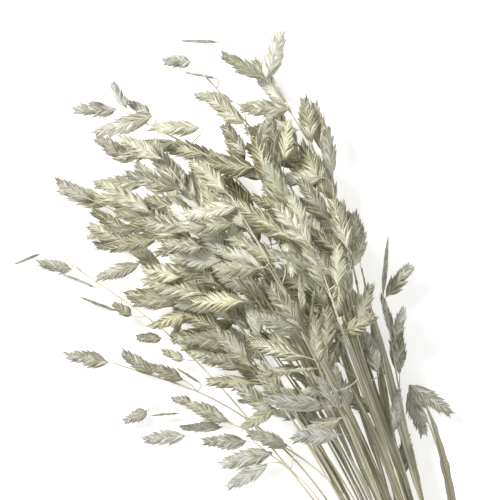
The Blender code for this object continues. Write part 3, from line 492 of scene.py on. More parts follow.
# Shades of culms, blades and the band: stains, and the spans of joints, folds and edges
LEAF_STOPS = ((0.0, LEAF_DARK), (0.35, STEM_GREY), (1.0, STEM_PALE))
CULM_STAIN = 0.35
LEAF_STAIN = 0.4
BAND_DUSTY = 0.6
JOINT_GREEN_SPAN = (0.05, 0.6, 0.45)
JOINT_DARK_SPAN = (0.75, 0.98, 0.5)
FOLD_SPAN = (0.09, 0.0, 0.55)
EDGE_SPAN = (0.36, 0.5, 0.75)

# The photograph's view: the point that it looks straight down at, how it is turned, and how much it shows
VIEW_AIM = (4.1 * MM, 535.4 * MM)
VIEW_TURN = -24.85
VIEW_WIDTH = 375 * MM
VIEW_HEIGHT = 35 * MM
LENS = 135.0
SENSOR = 36.0
CLIP_END = 50.0

# The studio: lights as they stand round the aim in that view, with their size, power and colour
LIGHTS = (("key", (-0.75, 0.55, 0.95), 0.4, 18.0, (1.0, 0.99, 0.96)),
          ("fill", (0.9, -0.5, 0.9), 1.2, 2.5, (0.96, 0.98, 1.0)))
AIR_STRENGTH = 0.44
FLOOR_HALF = 6.0
FLOOR_BELOW = 0.2 * MM


def clamp(value, low=0.0, high=1.0):
    return min(max(value, low), high)


def millimetres(draw, span):
    """A length drawn from a span in millimetres."""
    return draw.uniform(*span) * MM


def either_way(draw, most):
    """A value drawn from as far below nought as above it."""
    return draw.uniform(-most, most)


def between(side, face, turn):
    """A direction turned from one towards another by an angle."""
    return side * math.cos(turn) + face * math.sin(turn)


def rippled(wave, place, start):
    """A size near one that rises and falls along a piece, for a wave given as (how quick, how high)."""
    quick, high = wave
    return 1 + high * math.sin(place * quick + start)


def hermite(t):
    """Weights of a smooth stretch: of its start and the slope there, and of its end and the slope there."""
    t2, t3 = t * t, t * t * t
    return 2 * t3 - 3 * t2 + 1, t3 - 2 * t2 + t, 3 * t2 - 2 * t3, t3 - t2


def lattice(count):
    """Places of the stems in the round bundle: columns of a triangular lattice, the nearest to its middle."""
    column_step = PITCH * math.sqrt(3) / 2
    places = []
    for column in range(-BUNDLE_REACH, BUNDLE_REACH + 1):
        for row in range(-BUNDLE_REACH, BUNDLE_REACH + 1):
            places.append((column, column * column_step, (row + 0.5 * (column % 2)) * PITCH))
    places.sort(key=lambda place: (round(math.hypot(place[1], place[2]), 7), place[0], place[2]))
    return sorted(places[:count])


def knot_slope(knots, index):
    """Slope at a knot: level where the line before or after it is level or turns back."""
    here, before, after = knots[index], knots[max(index - 1, 0)], knots[min(index + 1, len(knots) - 1)]
    if before is not here and after is not here and (here[1] - before[1]) * (after[1] - here[1]) <= 0:
        return 0.0
    return (after[1] - before[1]) / (after[0] - before[0])


def spline(knots, place):
    """A smooth curve through (y, value) knots that never overshoots them, read at y = place."""
    last = len(knots) - 2
    index = 0
    while index < last and knots[index + 1][0] <= place:
        index += 1
    (y0, v0), (y1, v1) = knots[index], knots[index + 1]
    slope0 = knot_slope(knots, index)
    slope1 = knot_slope(knots, index + 1)
    span = y1 - y0
    from_0, out, from_1, into = hermite((place - y0) / span)
    return from_0 * v0 + out * span * slope0 + from_1 * v1 + into * span * slope1


def stem_list():
    """Every stem: its name, plan points past the fan, height of its tip, drawn and ruled spikelets."""
    stems = []
    for name, plan, top, drawn in DRAWN_STEMS:
        ruled, ruled_from = MORE_SPIKELETS.get(name, (0, 0))
        stems.append(dict(name=name, plan=[Vector((x, y)) * MM for x, y in plan], top=top * MM, drawn=drawn,
                          ruled=ruled, ruled_from=ruled_from * MM))
    for number, (fan_x, tip_x, tip_y, top, ruled) in enumerate(NODDING_STEMS, 1):
        plan = []
        for share in NOD_SHARES:
            x = fan_x + (tip_x - fan_x) * share ** NOD_POWER
            y = FAN_Y / MM + (tip_y - FAN_Y / MM) * share
            plan.append(Vector((x, y)) * MM)
        stems.append(dict(name=f"nodding_{number:02d}", plan=plan, top=top * MM, drawn=(), ruled=ruled,
                          ruled_from=STALK_BEHIND))
    return stems


def lay_stems(stems):
    """Gives each stem its place in the tie and samples of its route, and returns the height of the tie."""
    places = lattice(len(stems))
    radius = max(math.hypot(x, z) for _, x, z in places) + CULM_RADIUS
    centre = radius + TIE_GAP + TIE_WALL
    by_side = sorted(stems, key=lambda stem: stem["plan"][0].x)
    columns = sorted({place[0] for place in places})
    taken = 0
    for column in columns:
        spots = sorted(place[2] for place in places if place[0] == column)
        x = next(place[1] for place in places if place[0] == column)
        group = sorted(by_side[taken:taken + len(spots)], key=lambda stem: stem["top"])
        taken += len(spots)
        for stem, z in zip(group, spots):
            stem["slot"] = Vector((x, z))
    draw = random.Random(SEED)
    for stem in stems:
        slot, plan = stem["slot"], stem["plan"]
        start = draw.uniform(0, CUT_END_STAGGER)
        fan_z = FAN_FLOOR + (slot.y + radius) * FAN_RISE
        tip = plan[-1]
        straight = (TIE_Y * (1 - TIE_STRAIGHT), TIE_Y * (1 + TIE_STRAIGHT))
        xs = [(start, slot.x * CUT_END_SPREAD)] + [(y, slot.x) for y in straight]
        xs += [(point.y, point.x) for point in plan]
        low_end = max(slot.y * CUT_END_SPREAD, CULM_RADIUS * CUT_END_LIFT - centre)
        arch = (FAN_Y + (tip.y - FAN_Y) * ARCH_SHARE, fan_z + (stem["top"] - fan_z) * ARCH_RISE)
        zs = [(start, centre + low_end)] + [(y, centre + slot.y) for y in straight]
        zs += [(FAN_Y, fan_z), arch, (tip.y, stem["top"])]
        steps = round((tip.y - start) / SAMPLE_STEP)
        stem["route"] = []
        for step in range(steps + 1):
            y = start + (tip.y - start) * step / steps
            stem["route"].append(Vector((spline(xs, y), y, spline(zs, y))))
    return centre


def clearance(y):
    """How far apart the middles of two stems stay: just side by side at the tie, wider in the head."""
    grown = (y - FREE_FROM_Y) / (FREE_AT_Y - FREE_FROM_Y)
    return CLEAR_AT_TIE + (CLEAR_IN_HEAD - CLEAR_AT_TIE) * clamp(grown)


def part_routes(stems):
    """Pushes neighbouring stems apart until each keeps its clearance, then smooths what that bent."""
    for _ in range(RELAX_ROUNDS):
        samples = [(number, step) for number, stem in enumerate(stems) for step in range(len(stem["route"]))]
        tree = kdtree.KDTree(len(samples))
        for index, (number, step) in enumerate(samples):
            tree.insert(stems[number]["route"][step], index)
        tree.balance()
        moves = {}
        for index, (number, step) in enumerate(samples):
            here = stems[number]["route"][step]
            if here.y < FREE_FROM_Y:
                continue
            room = clearance(here.y)
            push = Vector((0, 0, 0))
            for there, other, gap in tree.find_range(here, room):
                if samples[other][0] == number:
                    continue
                away = here - there
                away.y = 0
                if away.length < NEAR_ZERO:
                    away = Vector((0, 0, 1 if number > samples[other][0] else -1))
                push += away.normalized() * (room - gap) * 0.5
            if push.length:
                moves[(number, step)] = push
        for (number, step), push in moves.items():
            stems[number]["route"][step] += push
        for stem in stems:
            route = stem["route"]
            old = [point.copy() for point in route]
            for step in range(1, len(route) - 1):
                if old[step].y > FREE_FROM_Y:
                    mean = (old[step - 1] + old[step + 1]) / 2
                    route[step] = old[step].lerp(mean, RELAX_SMOOTHING)
                    route[step].z = max(route[step].z, 2 * CULM_RADIUS)
        if not moves:
            break


def thin_routes(stems):
    """Keeps a few points of each route for its culm: both ends, the tie and even steps past it."""
    for stem in stems:
        route = stem["route"]
        tie = min(range(len(route)), key=lambda step: abs(route[step].y - TIE_Y))
        kept = [0, tie]
        past = len(route) - 1 - tie
        kept += [tie + round(past * step / (CULM_POINTS - 2)) for step in range(1, CULM_POINTS - 1)]
        stem["culm"] = [route[step].copy() for step in kept]


def culm_radius(stem, point):
    rise = (point.y - TIE_Y) / (stem["culm"][-1].y - TIE_Y)
    return CULM_RADIUS + (RACHIS_RADIUS - CULM_RADIUS) * clamp(rise) ** CULM_TAPER


def along(points, distance_back):
    """Point and direction on a route, the given distance back from its tip."""
    left = distance_back
    for end, start in zip(reversed(points), reversed(points[:-1])):
        span = (end - start).length
        if left <= span or start is points[0]:
            return end.lerp(start, min(left / span, 1.0)), (end - start).normalized()
        left -= span
    return points[0].copy(), (points[1] - points[0]).normalized()


def frame_of(direction, roll):
    """Side and face directions of a flat piece that points along direction and is rolled about it."""
    side = direction.cross(Vector((0, 0, 1)))
    if side.length < NEAR_ZERO:
        side = Vector((1, 0, 0))
    side.normalize()
    face = side.cross(direction)
    turned = between(side, face, roll)
    return turned, turned.cross(direction)


def half_width(length):
    """Half of a spikelet's width: short ones are broader for their length."""
    return (SPIKELET_LEAST_WIDTH + SPIKELET_WIDENING * length) / 2


def bezier(a, b, c, share):
    return a.lerp(b, share).lerp(b.lerp(c, share), share)


def stalk_points(root, base, direction, steps):
    """A stalk that leaves its stem towards the spikelet and meets it in line with its axis."""
    reach = (base - root).length
    bend = base - direction * reach * STALK_BEND
    return [bezier(root, bend, base, step / steps) for step in range(steps + 1)]


def tube_proxy(points, radius):
    """A four-sided stand-in for a stretch of stem or stalk, as vertices and faces."""
    verts, faces = [], []
    for index, point in enumerate(points):
        ahead = points[min(index + 1, len(points) - 1)] - points[max(index - 1, 0)]
        side, face = frame_of(ahead.normalized(), 0.0)
        for turn in range(4):
            verts.append(point + between(side, face, turn * math.pi / 2) * radius)
    for index in range(len(points) - 1):
        for turn in range(4):
            a = index * 4 + turn
            b = index * 4 + (turn + 1) % 4
            faces.append((a, b, b + 4, a + 4))
    faces.append((0, 1, 2, 3))
    last = len(verts) - 4
    faces.append((last, last + 1, last + 2, last + 3))
    return verts, faces


def blade_proxy(base, direction, side, face, length, half_width, half_depth, end_width=SPIKELET_END):
    """A flat stand-in for a spikelet or a stretch of leaf, full in its middle, as vertices and faces."""
    verts, faces = [], []
    for share, deep in STAND_IN_RINGS:
        middle = base + direction * length * share
        wide = 1.0 if deep == 1.0 else end_width
        for across, up in ((1, 1), (-1, 1), (-1, -1), (1, -1)):
            verts.append(middle + side * half_width * wide * across + face * half_depth * deep * up)
    for ring in range(3):
        for turn in range(4):
            a = ring * 4 + turn
            b = ring * 4 + (turn + 1) % 4
            faces.append((a, b, b + 4, a + 4))
    faces.append((0, 1, 2, 3))
    faces.append((12, 13, 14, 15))
    return verts, faces


class Room:
    """What already stands in the bunch, as slightly swollen stand-ins that new pieces must keep clear of."""

    def __init__(self):
        self.things = []

    def shape(self, proxy):
        verts, faces = proxy
        middle = sum(verts, Vector()) / len(verts)
        reach = max((vert - middle).length for vert in verts)
        return middle, reach, BVHTree.FromPolygons(verts, faces)

    def add(self, stem, kind, proxy):
        self.things.append((stem, kind, self.shape(proxy)))

    def free(self, stem, kind, proxy, strict=True):
        """Whether a piece keeps clear: of all other stems, and of its own one's blades, strictly or not."""
        middle, reach, tree = self.shape(proxy)
        for other, other_kind, (there, far, other_tree) in self.things:
            blades = (kind == "blade") + (other_kind == "blade")
            if other == stem and blades < (1 if strict else 2):
                continue
            if (middle - there).length < reach + far and tree.overlap(other_tree):
                return False
        return True


def lowest(proxy):
    return min(vert.z for vert in proxy[0])


def place_spikelet(room, stem, root_back, base, heading, rise, roll, length, draw, on_floor=False):
    """Tries places near the wanted one and returns the first that is clear, or None."""
    for attempt in range(PLACE_TRIES):
        ease = attempt / PLACE_TRIES
        turn = heading + draw.uniform(-1, 1) * STRAY_HEADING * ease
        slope = rise + draw.uniform(-1, 1) * STRAY_RISE * ease
        twist = roll + draw.uniform(-1, 1) * STRAY_ROLL * ease
        if on_floor:
            slope, twist = 0.0, 0.0
        shift = Vector((draw.uniform(-1, 1) * STRAY_SHIFT, draw.uniform(-1, 1) * STRAY_SHIFT,
                        draw.uniform(-1, 1) * STRAY_HEIGHT))
        root, _ = along(stem["culm"], root_back)
        start = base + shift * ease
        level = math.cos(slope)
        direction = Vector((math.cos(turn) * level, math.sin(turn) * level, math.sin(slope)))
        side, face = frame_of(direction, twist)
        half = half_width(length)
        blade = blade_proxy(start, direction, side, face, length, half * SPARE_WIDTH, SPARE_DEPTH)
        if on_floor or lowest(blade) < 0:
            blade_low = min((start + direction * length * s + side * half * w).z
                            for s in LOW_SHARES for w in (-1, 0, 1))
            wanted = SPIKELET_CREST - FLOOR_CUT if on_floor else SPIKELET_CREST + SPARE_HEIGHT
            start.z += wanted - blade_low
            blade = blade_proxy(start, direction, side, face, length, half * SPARE_WIDTH, SPARE_DEPTH)
        steps = 1 if (start - root).length < BENT_STALK_FROM else 2
        stalk = stalk_points(root, start, direction, steps)
        if min(point.z for point in stalk) < STALK_END * STALK_RADIUS:
            continue
        stalk_proxy = tube_proxy(stalk, STALK_RADIUS * SPARE_STALK)
        strict = attempt < STRICT_TRIES
        if (room.free(stem["name"], "blade", blade, strict)
                and room.free(stem["name"], "stalk", stalk_proxy, strict)):
            room.add(stem["name"], "blade", blade)
            room.add(stem["name"], "stalk", stalk_proxy)
            return dict(stalk=stalk, base=start, direction=direction, side=side, face=face, length=length)
    return None


def nearest_back(points, target):
    """How far back from the tip of a route its nearest point to a place on the plan lies."""
    best, best_back, back = None, 0.0, 0.0
    for end, start in zip(reversed(points), reversed(points[:-1])):
        for share in (0.0, 0.25, 0.5, 0.75):
            point = end.lerp(start, share)
            gap = math.hypot(point.x - target.x, point.y - target.y)
            if best is None or gap < best:
                best, best_back = gap, back + share * (end - start).length
        back += (end - start).length
    return best_back, best


def traced_wish(stem, traced, edge_on, on_floor, draw):
    """The wanted place of a spikelet whose base and tip are set on the plan."""
    base_x, base_y, tip_x, tip_y = traced
    plan_base = Vector((base_x, base_y, 0)) * MM
    run = Vector((tip_x, tip_y, 0)) * MM - plan_base
    back, gap = nearest_back(stem["culm"], plan_base)
    back += STALK_BACK_MORE + STALK_BACK * gap
    root, _ = along(stem["culm"], back)
    rise = draw.uniform(*DRAWN_RISE)
    base = Vector((plan_base.x, plan_base.y, root.z + millimetres(draw, DRAWN_LIFT)))
    roll = math.radians(EDGE_ON_ROLL if edge_on else either_way(draw, DRAWN_ROLL))
    if on_floor:
        rise, roll = 0.0, 0.0
    return dict(root_back=back, base=base, heading=math.atan2(run.y, run.x), rise=rise, roll=roll,
                length=run.length / math.cos(rise), on_floor=on_floor)


def drawn_wishes(stem, draw):
    """The wanted places of a drawn stem's own spikelets."""
    wishes = []
    for number, (*traced, edge_on) in enumerate(stem["drawn"]):
        wishes.append(traced_wish(stem, traced, edge_on, (stem["name"], number) in FEET, draw))
    return wishes


def topmost_wishes(stems, draw):
    """Gives each of the topmost spikelets to the highest stem near its base that has not taken its share."""
    wishes = []
    for traced in TOPMOST:
        base = Vector(traced[:2]) * MM
        best, best_height = None, 0.0
        for stem in stems:
            back, gap = nearest_back(stem["culm"], base)
            height = along(stem["culm"], back)[0].z - gap
            if gap < STEM_REACH and height > best_height and stem["topmost"] < MOST_TOPMOST:
                best, best_height = stem, height
        if best:
            best["topmost"] += 1
            wishes.append((best, traced_wish(best, traced, False, False, draw)))
    return wishes


def stalk_end(root, heading, rise, reach):
    """Where a stalk ends that leaves its stem on a heading."""
    return root + Vector((math.cos(heading), math.sin(heading), math.tan(rise))) * reach


def ruled_wishes(stem, draw):
    """The places of the spikelets that the rule sets, from the tip of the stem back and on either hand."""
    wishes = []
    back = stem["ruled_from"]
    for number in range(stem["ruled"] - stem["topmost"] // 2):
        root, ahead = along(stem["culm"], back)
        hand = 1 if number % 2 else -1
        plan_heading = math.atan2(ahead.y, ahead.x)
        stray = either_way(draw, RULED_STRAY)
        turn = plan_heading + math.radians(RULED_TURN + hand * RULED_HANDS + stray)
        length = millimetres(draw, RULED_LENGTH)
        reach = millimetres(draw, RULED_REACH)
        if number == 0 and not stem["drawn"]:
            turn, reach = plan_heading + math.radians(END_TURN), END_REACH * MM
        rise = either_way(draw, RULED_RISE)
        base = stalk_end(root, turn, rise, reach)
        base.z += millimetres(draw, RULED_LIFT)
        roll = math.radians(either_way(draw, RULED_ROLL))
        wishes.append(dict(root_back=back + STALK_BEHIND, base=base, heading=turn, rise=rise, roll=roll,
                           length=length, on_floor=False))
        back += millimetres(draw, RULED_STEP)
    return wishes


def place_leaf(room, stem, draw):
    """A long folded blade that leaves the stem in the fan and runs beside it, where it finds room."""
    culm = stem["culm"]
    for _ in range(LEAF_TRIES):
        start_y = millimetres(draw, LEAF_START)
        length = millimetres(draw, LEAF_LENGTH)
        if stem["name"] in SET_LEAVES:
            start_y, length = (value * MM for value in SET_LEAVES[stem["name"]])
        above = [point for point in culm if point.y > start_y]
        if len(above) < 2 or above[-1].y < start_y + length * LEAF_STEM_SHARE:
            continue
        tip_back = sum((b - a).length for a, b in zip(above, above[1:]))
        turn = draw.uniform(*LEAF_SIDE) * math.pi
        lean = millimetres(draw, LEAF_LEAN)
        roll = math.radians(either_way(draw, LEAF_ROLL))
        points = []
        for share in LEAF_SHARES:
            spot, ahead = along(culm, max(tip_back - length * share, 0.0))
            side, face = frame_of(ahead, 0.0)
            out = lean * (LEAF_OUT_FIRST + LEAF_OUT_MORE * share ** LEAF_OUT_POWER)
            points.append(spot + between(side, face, turn) * out)
        tip_rise = points[4].z - points[3].z
        points[4].z -= max(tip_rise, 0) * LEAF_TIP_LEVEL
        side, face = frame_of((points[-1] - points[1]).normalized(), roll)
        proxies = []
        for number, (a, b) in enumerate(zip(points, points[1:])):
            run = b - a
            wide = LEAF_WIDTH * (LEAF_ROOT_WIDTH if number == 0 else 0.5)
            proxies.append(blade_proxy(a, run.normalized(), side, face, run.length, wide, LEAF_DEPTH, 1.0))
        if min(lowest(proxy) for proxy in proxies) > 0 and all(
                room.free(stem["name"], "leaf", proxy, False) for proxy in proxies):
            for proxy in proxies:
                room.add(stem["name"], "leaf", proxy)
            root, _ = along(culm, tip_back + LEAF_ROOT_BACK)
            return dict(points=[root] + points[1:], side=side, face=face)
    return None


def lay_out():
    """The whole bunch as numbers: routes, leaves and spikelets, each clear of the others."""
    stems = stem_list()
    centre = lay_stems(stems)
    part_routes(stems)
    thin_routes(stems)
    room = Room()
    for stem in stems:
        stem["leaf"], stem["spikelets"], stem["topmost"] = None, [], 0
        for a, b in zip(stem["culm"], stem["culm"][1:]):
            room.add(stem["name"], "culm", tube_proxy([a, b], culm_radius(stem, a) + CULM_SPARE))
    draw = random.Random(SEED + 1)
    drawn = [(stem, wish) for stem in stems for wish in drawn_wishes(stem, draw)]
    topmost = topmost_wishes(stems, draw)
    ruled = [(stem, wish) for stem in stems for wish in ruled_wishes(stem, draw)]
    feet = [(stem, wish) for stem, wish in drawn if wish["on_floor"]]
    others = [(stem, wish) for stem, wish in drawn if not wish["on_floor"]]
    for number, (stem, wish) in enumerate(feet + others + topmost + ruled):
        if number == len(feet):
            for name in LEAFY:
                leafy = next(stem for stem in stems if stem["name"] == name)
                leafy["leaf"] = place_leaf(room, leafy, draw)
        found = place_spikelet(room, stem, draw=draw, **wish)
        if found:
            stem["spikelets"].append(found)
    return stems, centre, room


def add_fillers(stems, room):
    """Sets more spikelets between the others of the dense head, each where it finds room below its top."""
    top = solid_box[1][2] - FILLER_BELOW_TOP
    draw = random.Random(SEED + 2)
    for stem in stems:
        nodding = stem["name"].startswith("nodding")
        for _ in range(FILLERS_NODDING if nodding else FILLERS_DRAWN.get(stem["name"], 0)):
            back = millimetres(draw, FILLER_BACK)
            root, ahead = along(stem["culm"], back)
            turn = math.radians(FILLER_TURN + either_way(draw, FILLER_STRAY))
            heading = math.atan2(ahead.y, ahead.x) + turn
            rise = either_way(draw, FILLER_RISE)
            base = stalk_end(root, heading, rise, millimetres(draw, FILLER_REACH))
            base.z += millimetres(draw, FILLER_LIFT)
            roll = math.radians(either_way(draw, FILLER_ROLL))
            length = millimetres(draw, FILLER_LENGTH)
            found = place_spikelet(room, stem, back + STALK_BEHIND, base, heading, rise, roll, length, draw)
            if found and max(found["base"].z, found["base"].z + found["direction"].z * length) < top:
                stem["spikelets"].append(found)


def outline_width(share):
    """Half width of a spikelet over its length as a share of its widest: a wedge, a belly, a long taper."""
    if share < BELLY_AT:
        return NECK_WIDTH + (1 - NECK_WIDTH) * math.sin(share / BELLY_AT * math.pi / 2) ** BELLY_POWER
    return 1.0 - END_NARROWING * ((share - BELLY_AT) / (1 - BELLY_AT)) ** TAPER_POWER


def smooth_route(points, steps):
    """A smooth line through all of a route's points, with the given number of steps from one to the next."""
    line = []
    for index in range(len(points) - 1):
        before = points[max(index - 1, 0)]
        a, b = points[index], points[index + 1]
        after = points[min(index + 2, len(points) - 1)]
        span = (b - a).length
        slope_a = (b - before) / max((b - before).length, NEAR_ZERO) * span
        slope_b = (after - a) / max((after - a).length, NEAR_ZERO) * span
        for step in range(steps):
            from_a, out, from_b, into = hermite(step / steps)
            line.append(from_a * a + out * slope_a + from_b * b + into * slope_b)
    line.append(points[-1].copy())
    return line


def measured(line):
    """How far along a line each of its points lies."""
    travelled = [0.0]
    for a, b in zip(line, line[1:]):
        travelled.append(travelled[-1] + (b - a).length)
    return travelled


def point_at(line, travelled, distance):
    """The point a given distance up a line."""
    for index in range(len(line) - 1):
        if travelled[index + 1] >= distance or index == len(line) - 2:
            share = (distance - travelled[index]) / (travelled[index + 1] - travelled[index])
            return line[index].lerp(line[index + 1], clamp(share))


def carried_frames(line):
    """Side and face directions along a line, carried without twist, turning the right-handed way."""
    frames = []
    side, _ = frame_of((line[1] - line[0]).normalized(), 0.0)
    for index in range(len(line)):
        ahead = (line[min(index + 1, len(line) - 1)] - line[max(index - 1, 0)]).normalized()
        side = (side - ahead * side.dot(ahead)).normalized()
        frames.append((side, ahead.cross(side)))
    return frames


def keep_mesh(bm, name):
    """Puts a finished bmesh into a new mesh."""
    mesh = bpy.data.meshes.new(name)
    bm.to_mesh(mesh)
    bm.free()
    return mesh


def husk_template(name, curl, cup):
    """One husk, a unit long: a thin folded keel outside, thick margins inside and a pointed tip."""
    bm = bmesh.new()
    bmesh.ops.create_uvsphere(bm, u_segments=HUSK_SIDES, v_segments=HUSK_BANDS, radius=1.0)
    uv = bm.loops.layers.uv.new("UVMap")
    for layer in HUSK_LAYERS:
        bm.verts.layers.float.new(layer)
    keel, margin = HUSK_SECTION[0][0], HUSK_SECTION[-2][0]
    half_turn = HUSK_SIDES // 2
    across_of, margins = {}, set()
    for vert in bm.verts:
        ring = max(math.hypot(vert.co.x, vert.co.y), NEAR_ZERO)
        turn = round(half_turn - half_turn * math.acos(clamp(vert.co.x / ring, -1)) / math.pi)
        reach, rise = HUSK_SECTION[turn]
        share = (vert.co.z + 1) / 2
        across_of[vert] = (min(reach, margin) - keel) / (margin - keel)
        if turn == len(HUSK_SECTION) - 2:
            margins.add(vert)
        form = max(math.sin(math.pi * share ** HUSK_WIDEST), 0.0) ** HUSK_POINTED
        bend = cup * math.sin(math.pi * share) - curl * share ** CURL_POWER
        vert.co = Vector((HUSK_WIDTH / 2 * form * reach + bend,
                          HUSK_DEPTH * math.copysign(rise, vert.co.y) * form ** DEPTH_POWER, share))
    for face in bm.faces:
        face.smooth = True
        for loop in face.loops:
            loop[uv].uv = (across_of[loop.vert], loop.vert.co.z)
    for edge in bm.edges:
        if margins.issuperset(edge.verts):
            edge.smooth = False
    return keep_mesh(bm, name)


def set_husk(bm, template, place, along_husk, inward, outward, size, finish):
    """Adds a husk to a spikelet, by where it starts and points, its inner side, its face and its finish."""
    known = len(bm.verts)
    bm.from_mesh(template)
    bm.verts.ensure_lookup_table()
    fresh = bm.verts[known:]
    turned = Matrix((inward * size, outward * size, along_husk * size)).transposed().to_4x4()
    bmesh.ops.transform(bm, matrix=Matrix.Translation(place) @ turned, verts=fresh)
    for layer, value in zip(HUSK_LAYERS, finish):
        mark = bm.verts.layers.float[layer]
        for vert in fresh:
            vert[mark] = value


def spikelet_finish(base, draw):
    """How light, golden and green a spikelet is: lighter high up and darker low down by painted light and
    shade, greyer at the edge of the head.
    """
    outer = clamp(((base.xy - HEAD_MIDDLE).length - HEAD_REACH) / HEAD_REACH)
    # Painted light and shade: spikelets high in the bunch lighter, low ones darker
    height = clamp((base.z - PAINTED_LIGHT_LEVEL) / PAINTED_LIGHT_LEVEL, -1)
    tone = draw.gauss(*TONE) + PAINTED_LIGHT_BY_HEIGHT * height - TONE_LOST_OUTSIDE * outer
    tone = clamp(tone, LEAST_TONE + LEAST_TONE_OUTSIDE * outer, MOST_TONE)
    warmth = draw.uniform(*WARMTH) * (1 - COOLER_OUTSIDE * outer)
    green = draw.uniform(*GREEN) if draw.random() < GREEN_CHANCE else 0.0
    return tone, warmth, green


def leaning(axis, side, lean):
    """Where a husk points that leans out to a side, and the direction to its inner margin."""
    return between(axis, side, lean), between(-side, axis, lean)


def spikelet_mesh(piece, templates, draw):
    """A flat, slightly bent spikelet: two rows of husks like shingles, one at its end and two bracts."""
    base, axis, side, face, length = (piece[key] for key in ("base", "direction", "side", "face", "length"))
    half = half_width(length) * draw.uniform(*FULLER)
    last = max(round(length / HUSK_PITCH), LEAST_HUSKS) * 2 - 1
    stout = max(half / (SLIM_HALF * length), 1.0)
    wide, deep = stout ** STOUT_WIDTH, stout ** STOUT_DEPTH
    tone, warmth, green = spikelet_finish(base, draw)
    bm = bmesh.new()
    for number in range(last, -1, -1):
        hand = 1 if number % 2 else -1
        share = FIRST_HUSK + HUSKS_REACH * number / last
        belly = HUSK_BELLY * math.sin(math.pi * min(share / BELLY_UP_TO, 1.0))
        size = length * (HUSK_SHARE + belly - HUSK_SHORTER_UP * share)
        size *= draw.uniform(*HUSK_UNEVEN) * stout ** STOUT_LENGTH
        reach = half * outline_width(min(share + TIP_AT * size / length, 1.0)) - TIP_INSIDE
        lean = math.asin(clamp(reach / size, *HUSK_LEAN)) + math.radians(either_way(draw, LEAN_STRAY))
        start = base + axis * share * length + side * hand * AXIS_HALF
        points, inward = leaning(axis, side * hand, lean)
        roll = math.radians(either_way(draw, HUSK_ROLL))
        outward = face * hand
        finish = (tone + draw.gauss(0, TONE_STRAY), warmth, green)
        set_husk(bm, draw.choice(templates), start, points, between(inward, outward, roll) * wide,
                 between(outward, inward, -roll) * deep, size, finish)
    set_husk(bm, templates[0], base + axis * length * END_HUSK_AT, axis, side * wide, -face,
             length * END_HUSK_SIZE, (tone, warmth, green))
    for hand in (1, -1):
        points, inward = leaning(axis, side * hand, math.radians(draw.uniform(*BRACT_LEAN)))
        set_husk(bm, templates[0], base - axis * BRACT_BELOW, points, inward * wide, face * hand,
                 length * BRACT_SIZE, (tone - BRACT_DARKER, warmth, green))
    arch, sweep = millimetres(draw, SPIKELET_ARCH), millimetres(draw, SPIKELET_SWEEP)
    for vert in bm.verts:
        rise = max((vert.co - base).dot(axis) / length, 0.0)
        vert.co += (face * arch + side * sweep) * rise * rise
        vert.co.z = max(vert.co.z, TABLE_SKIN)
    return keep_mesh(bm, "spikelet")


def straight_tube(sides, rings):
    """A closed tube one unit wide and long, with UV round it and along it, made once for each size."""
    if (sides, rings) not in TUBES:
        bm = bmesh.new()
        bmesh.ops.create_cone(bm, cap_ends=True, segments=sides, radius1=1.0, radius2=1.0, depth=1.0)
        lengthwise = [edge for edge in bm.edges if abs(edge.verts[0].co.z - edge.verts[1].co.z) > 0.5]
        bmesh.ops.subdivide_edges(bm, edges=lengthwise, cuts=rings - 2)
        uv = bm.loops.layers.uv.new("UVMap")
        for layer in TUBE_LAYERS:
            bm.verts.layers.float.new(layer)
        for face in bm.faces:
            middle = face.calc_center_median()
            facing = math.atan2(middle.y, middle.x)
            wall = abs(face.normal.z) < 0.5
            face.smooth = wall
            for loop in face.loops:
                place = loop.vert.co
                turn = math.atan2(place.y, place.x) - facing
                turn = (turn + math.pi) % math.tau - math.pi
                around = (facing + turn) / math.tau if wall else 0.0
                loop[uv].uv = (around, place.z + 0.5)
        TUBES[(sides, rings)] = keep_mesh(bm, "tube")
    return TUBES[(sides, rings)]


def add_tube(bm, line, radii, sides, light=0.5, joints=None):
    """Adds a closed round tube along a line; V of its UV runs in metres."""
    known_verts, known_faces = len(bm.verts), len(bm.faces)
    bm.from_mesh(straight_tube(sides, len(line)))
    bm.verts.ensure_lookup_table()
    bm.faces.ensure_lookup_table()
    frames, travelled = carried_frames(line), measured(line)
    joint_layer, light_layer = (bm.verts.layers.float[layer] for layer in TUBE_LAYERS)
    uv = bm.loops.layers.uv.active
    rings = len(line) - 1
    for face in bm.faces[known_faces:]:
        for loop in face.loops:
            loop[uv].uv.y = travelled[round(loop[uv].uv.y * rings)]
    for vert in bm.verts[known_verts:]:
        ring = round((vert.co.z + 0.5) * rings)
        side, face = frames[ring]
        place = line[ring] + (side * vert.co.x + face * vert.co.y) * radii[ring]
        place.z = max(place.z, TABLE_SKIN)
        vert.co = place
        vert[joint_layer] = joints[ring] if joints else 0.0
        vert[light_layer] = light


def culm_shares(length, joints):
    """Places along a culm that get a ring: even steps, and a few close ones at each joint."""
    shares = {round(step / CULM_STEPS, 5) for step in range(CULM_STEPS + 1)}
    for joint in joints:
        for offset in JOINT_RINGS:
            place = (joint + offset * MM) / length
            if ENDS_CLEAR < place < 1 - ENDS_CLEAR:
                shares.add(round(place, 5))
    return sorted(shares)


def add_stalk(bm, line, piece, light):
    """The hair-thin stalk of a spikelet, which sags a little and thickens where it enters the husks."""
    base, direction = piece["base"], piece["direction"]
    root = min(line, key=lambda point: (point - piece["stalk"][0]).length)
    reach = (base - root).length
    bend = base - direction * reach * STALK_BEND + Vector((0, 0, -1)) * reach * STALK_SAG
    shares = [step / STALK_STEPS for step in range(STALK_STEPS + 1)]
    curve = [bezier(root, bend, base + direction * STALK_INTO_HUSKS, share) for share in shares]
    radii = [STALK_THIN + STALK_ROOT_MORE * (1 - share) ** 2 for share in shares]
    radii[-2:] = STALK_NECK
    add_tube(bm, curve, radii, STALK_SIDES, light)


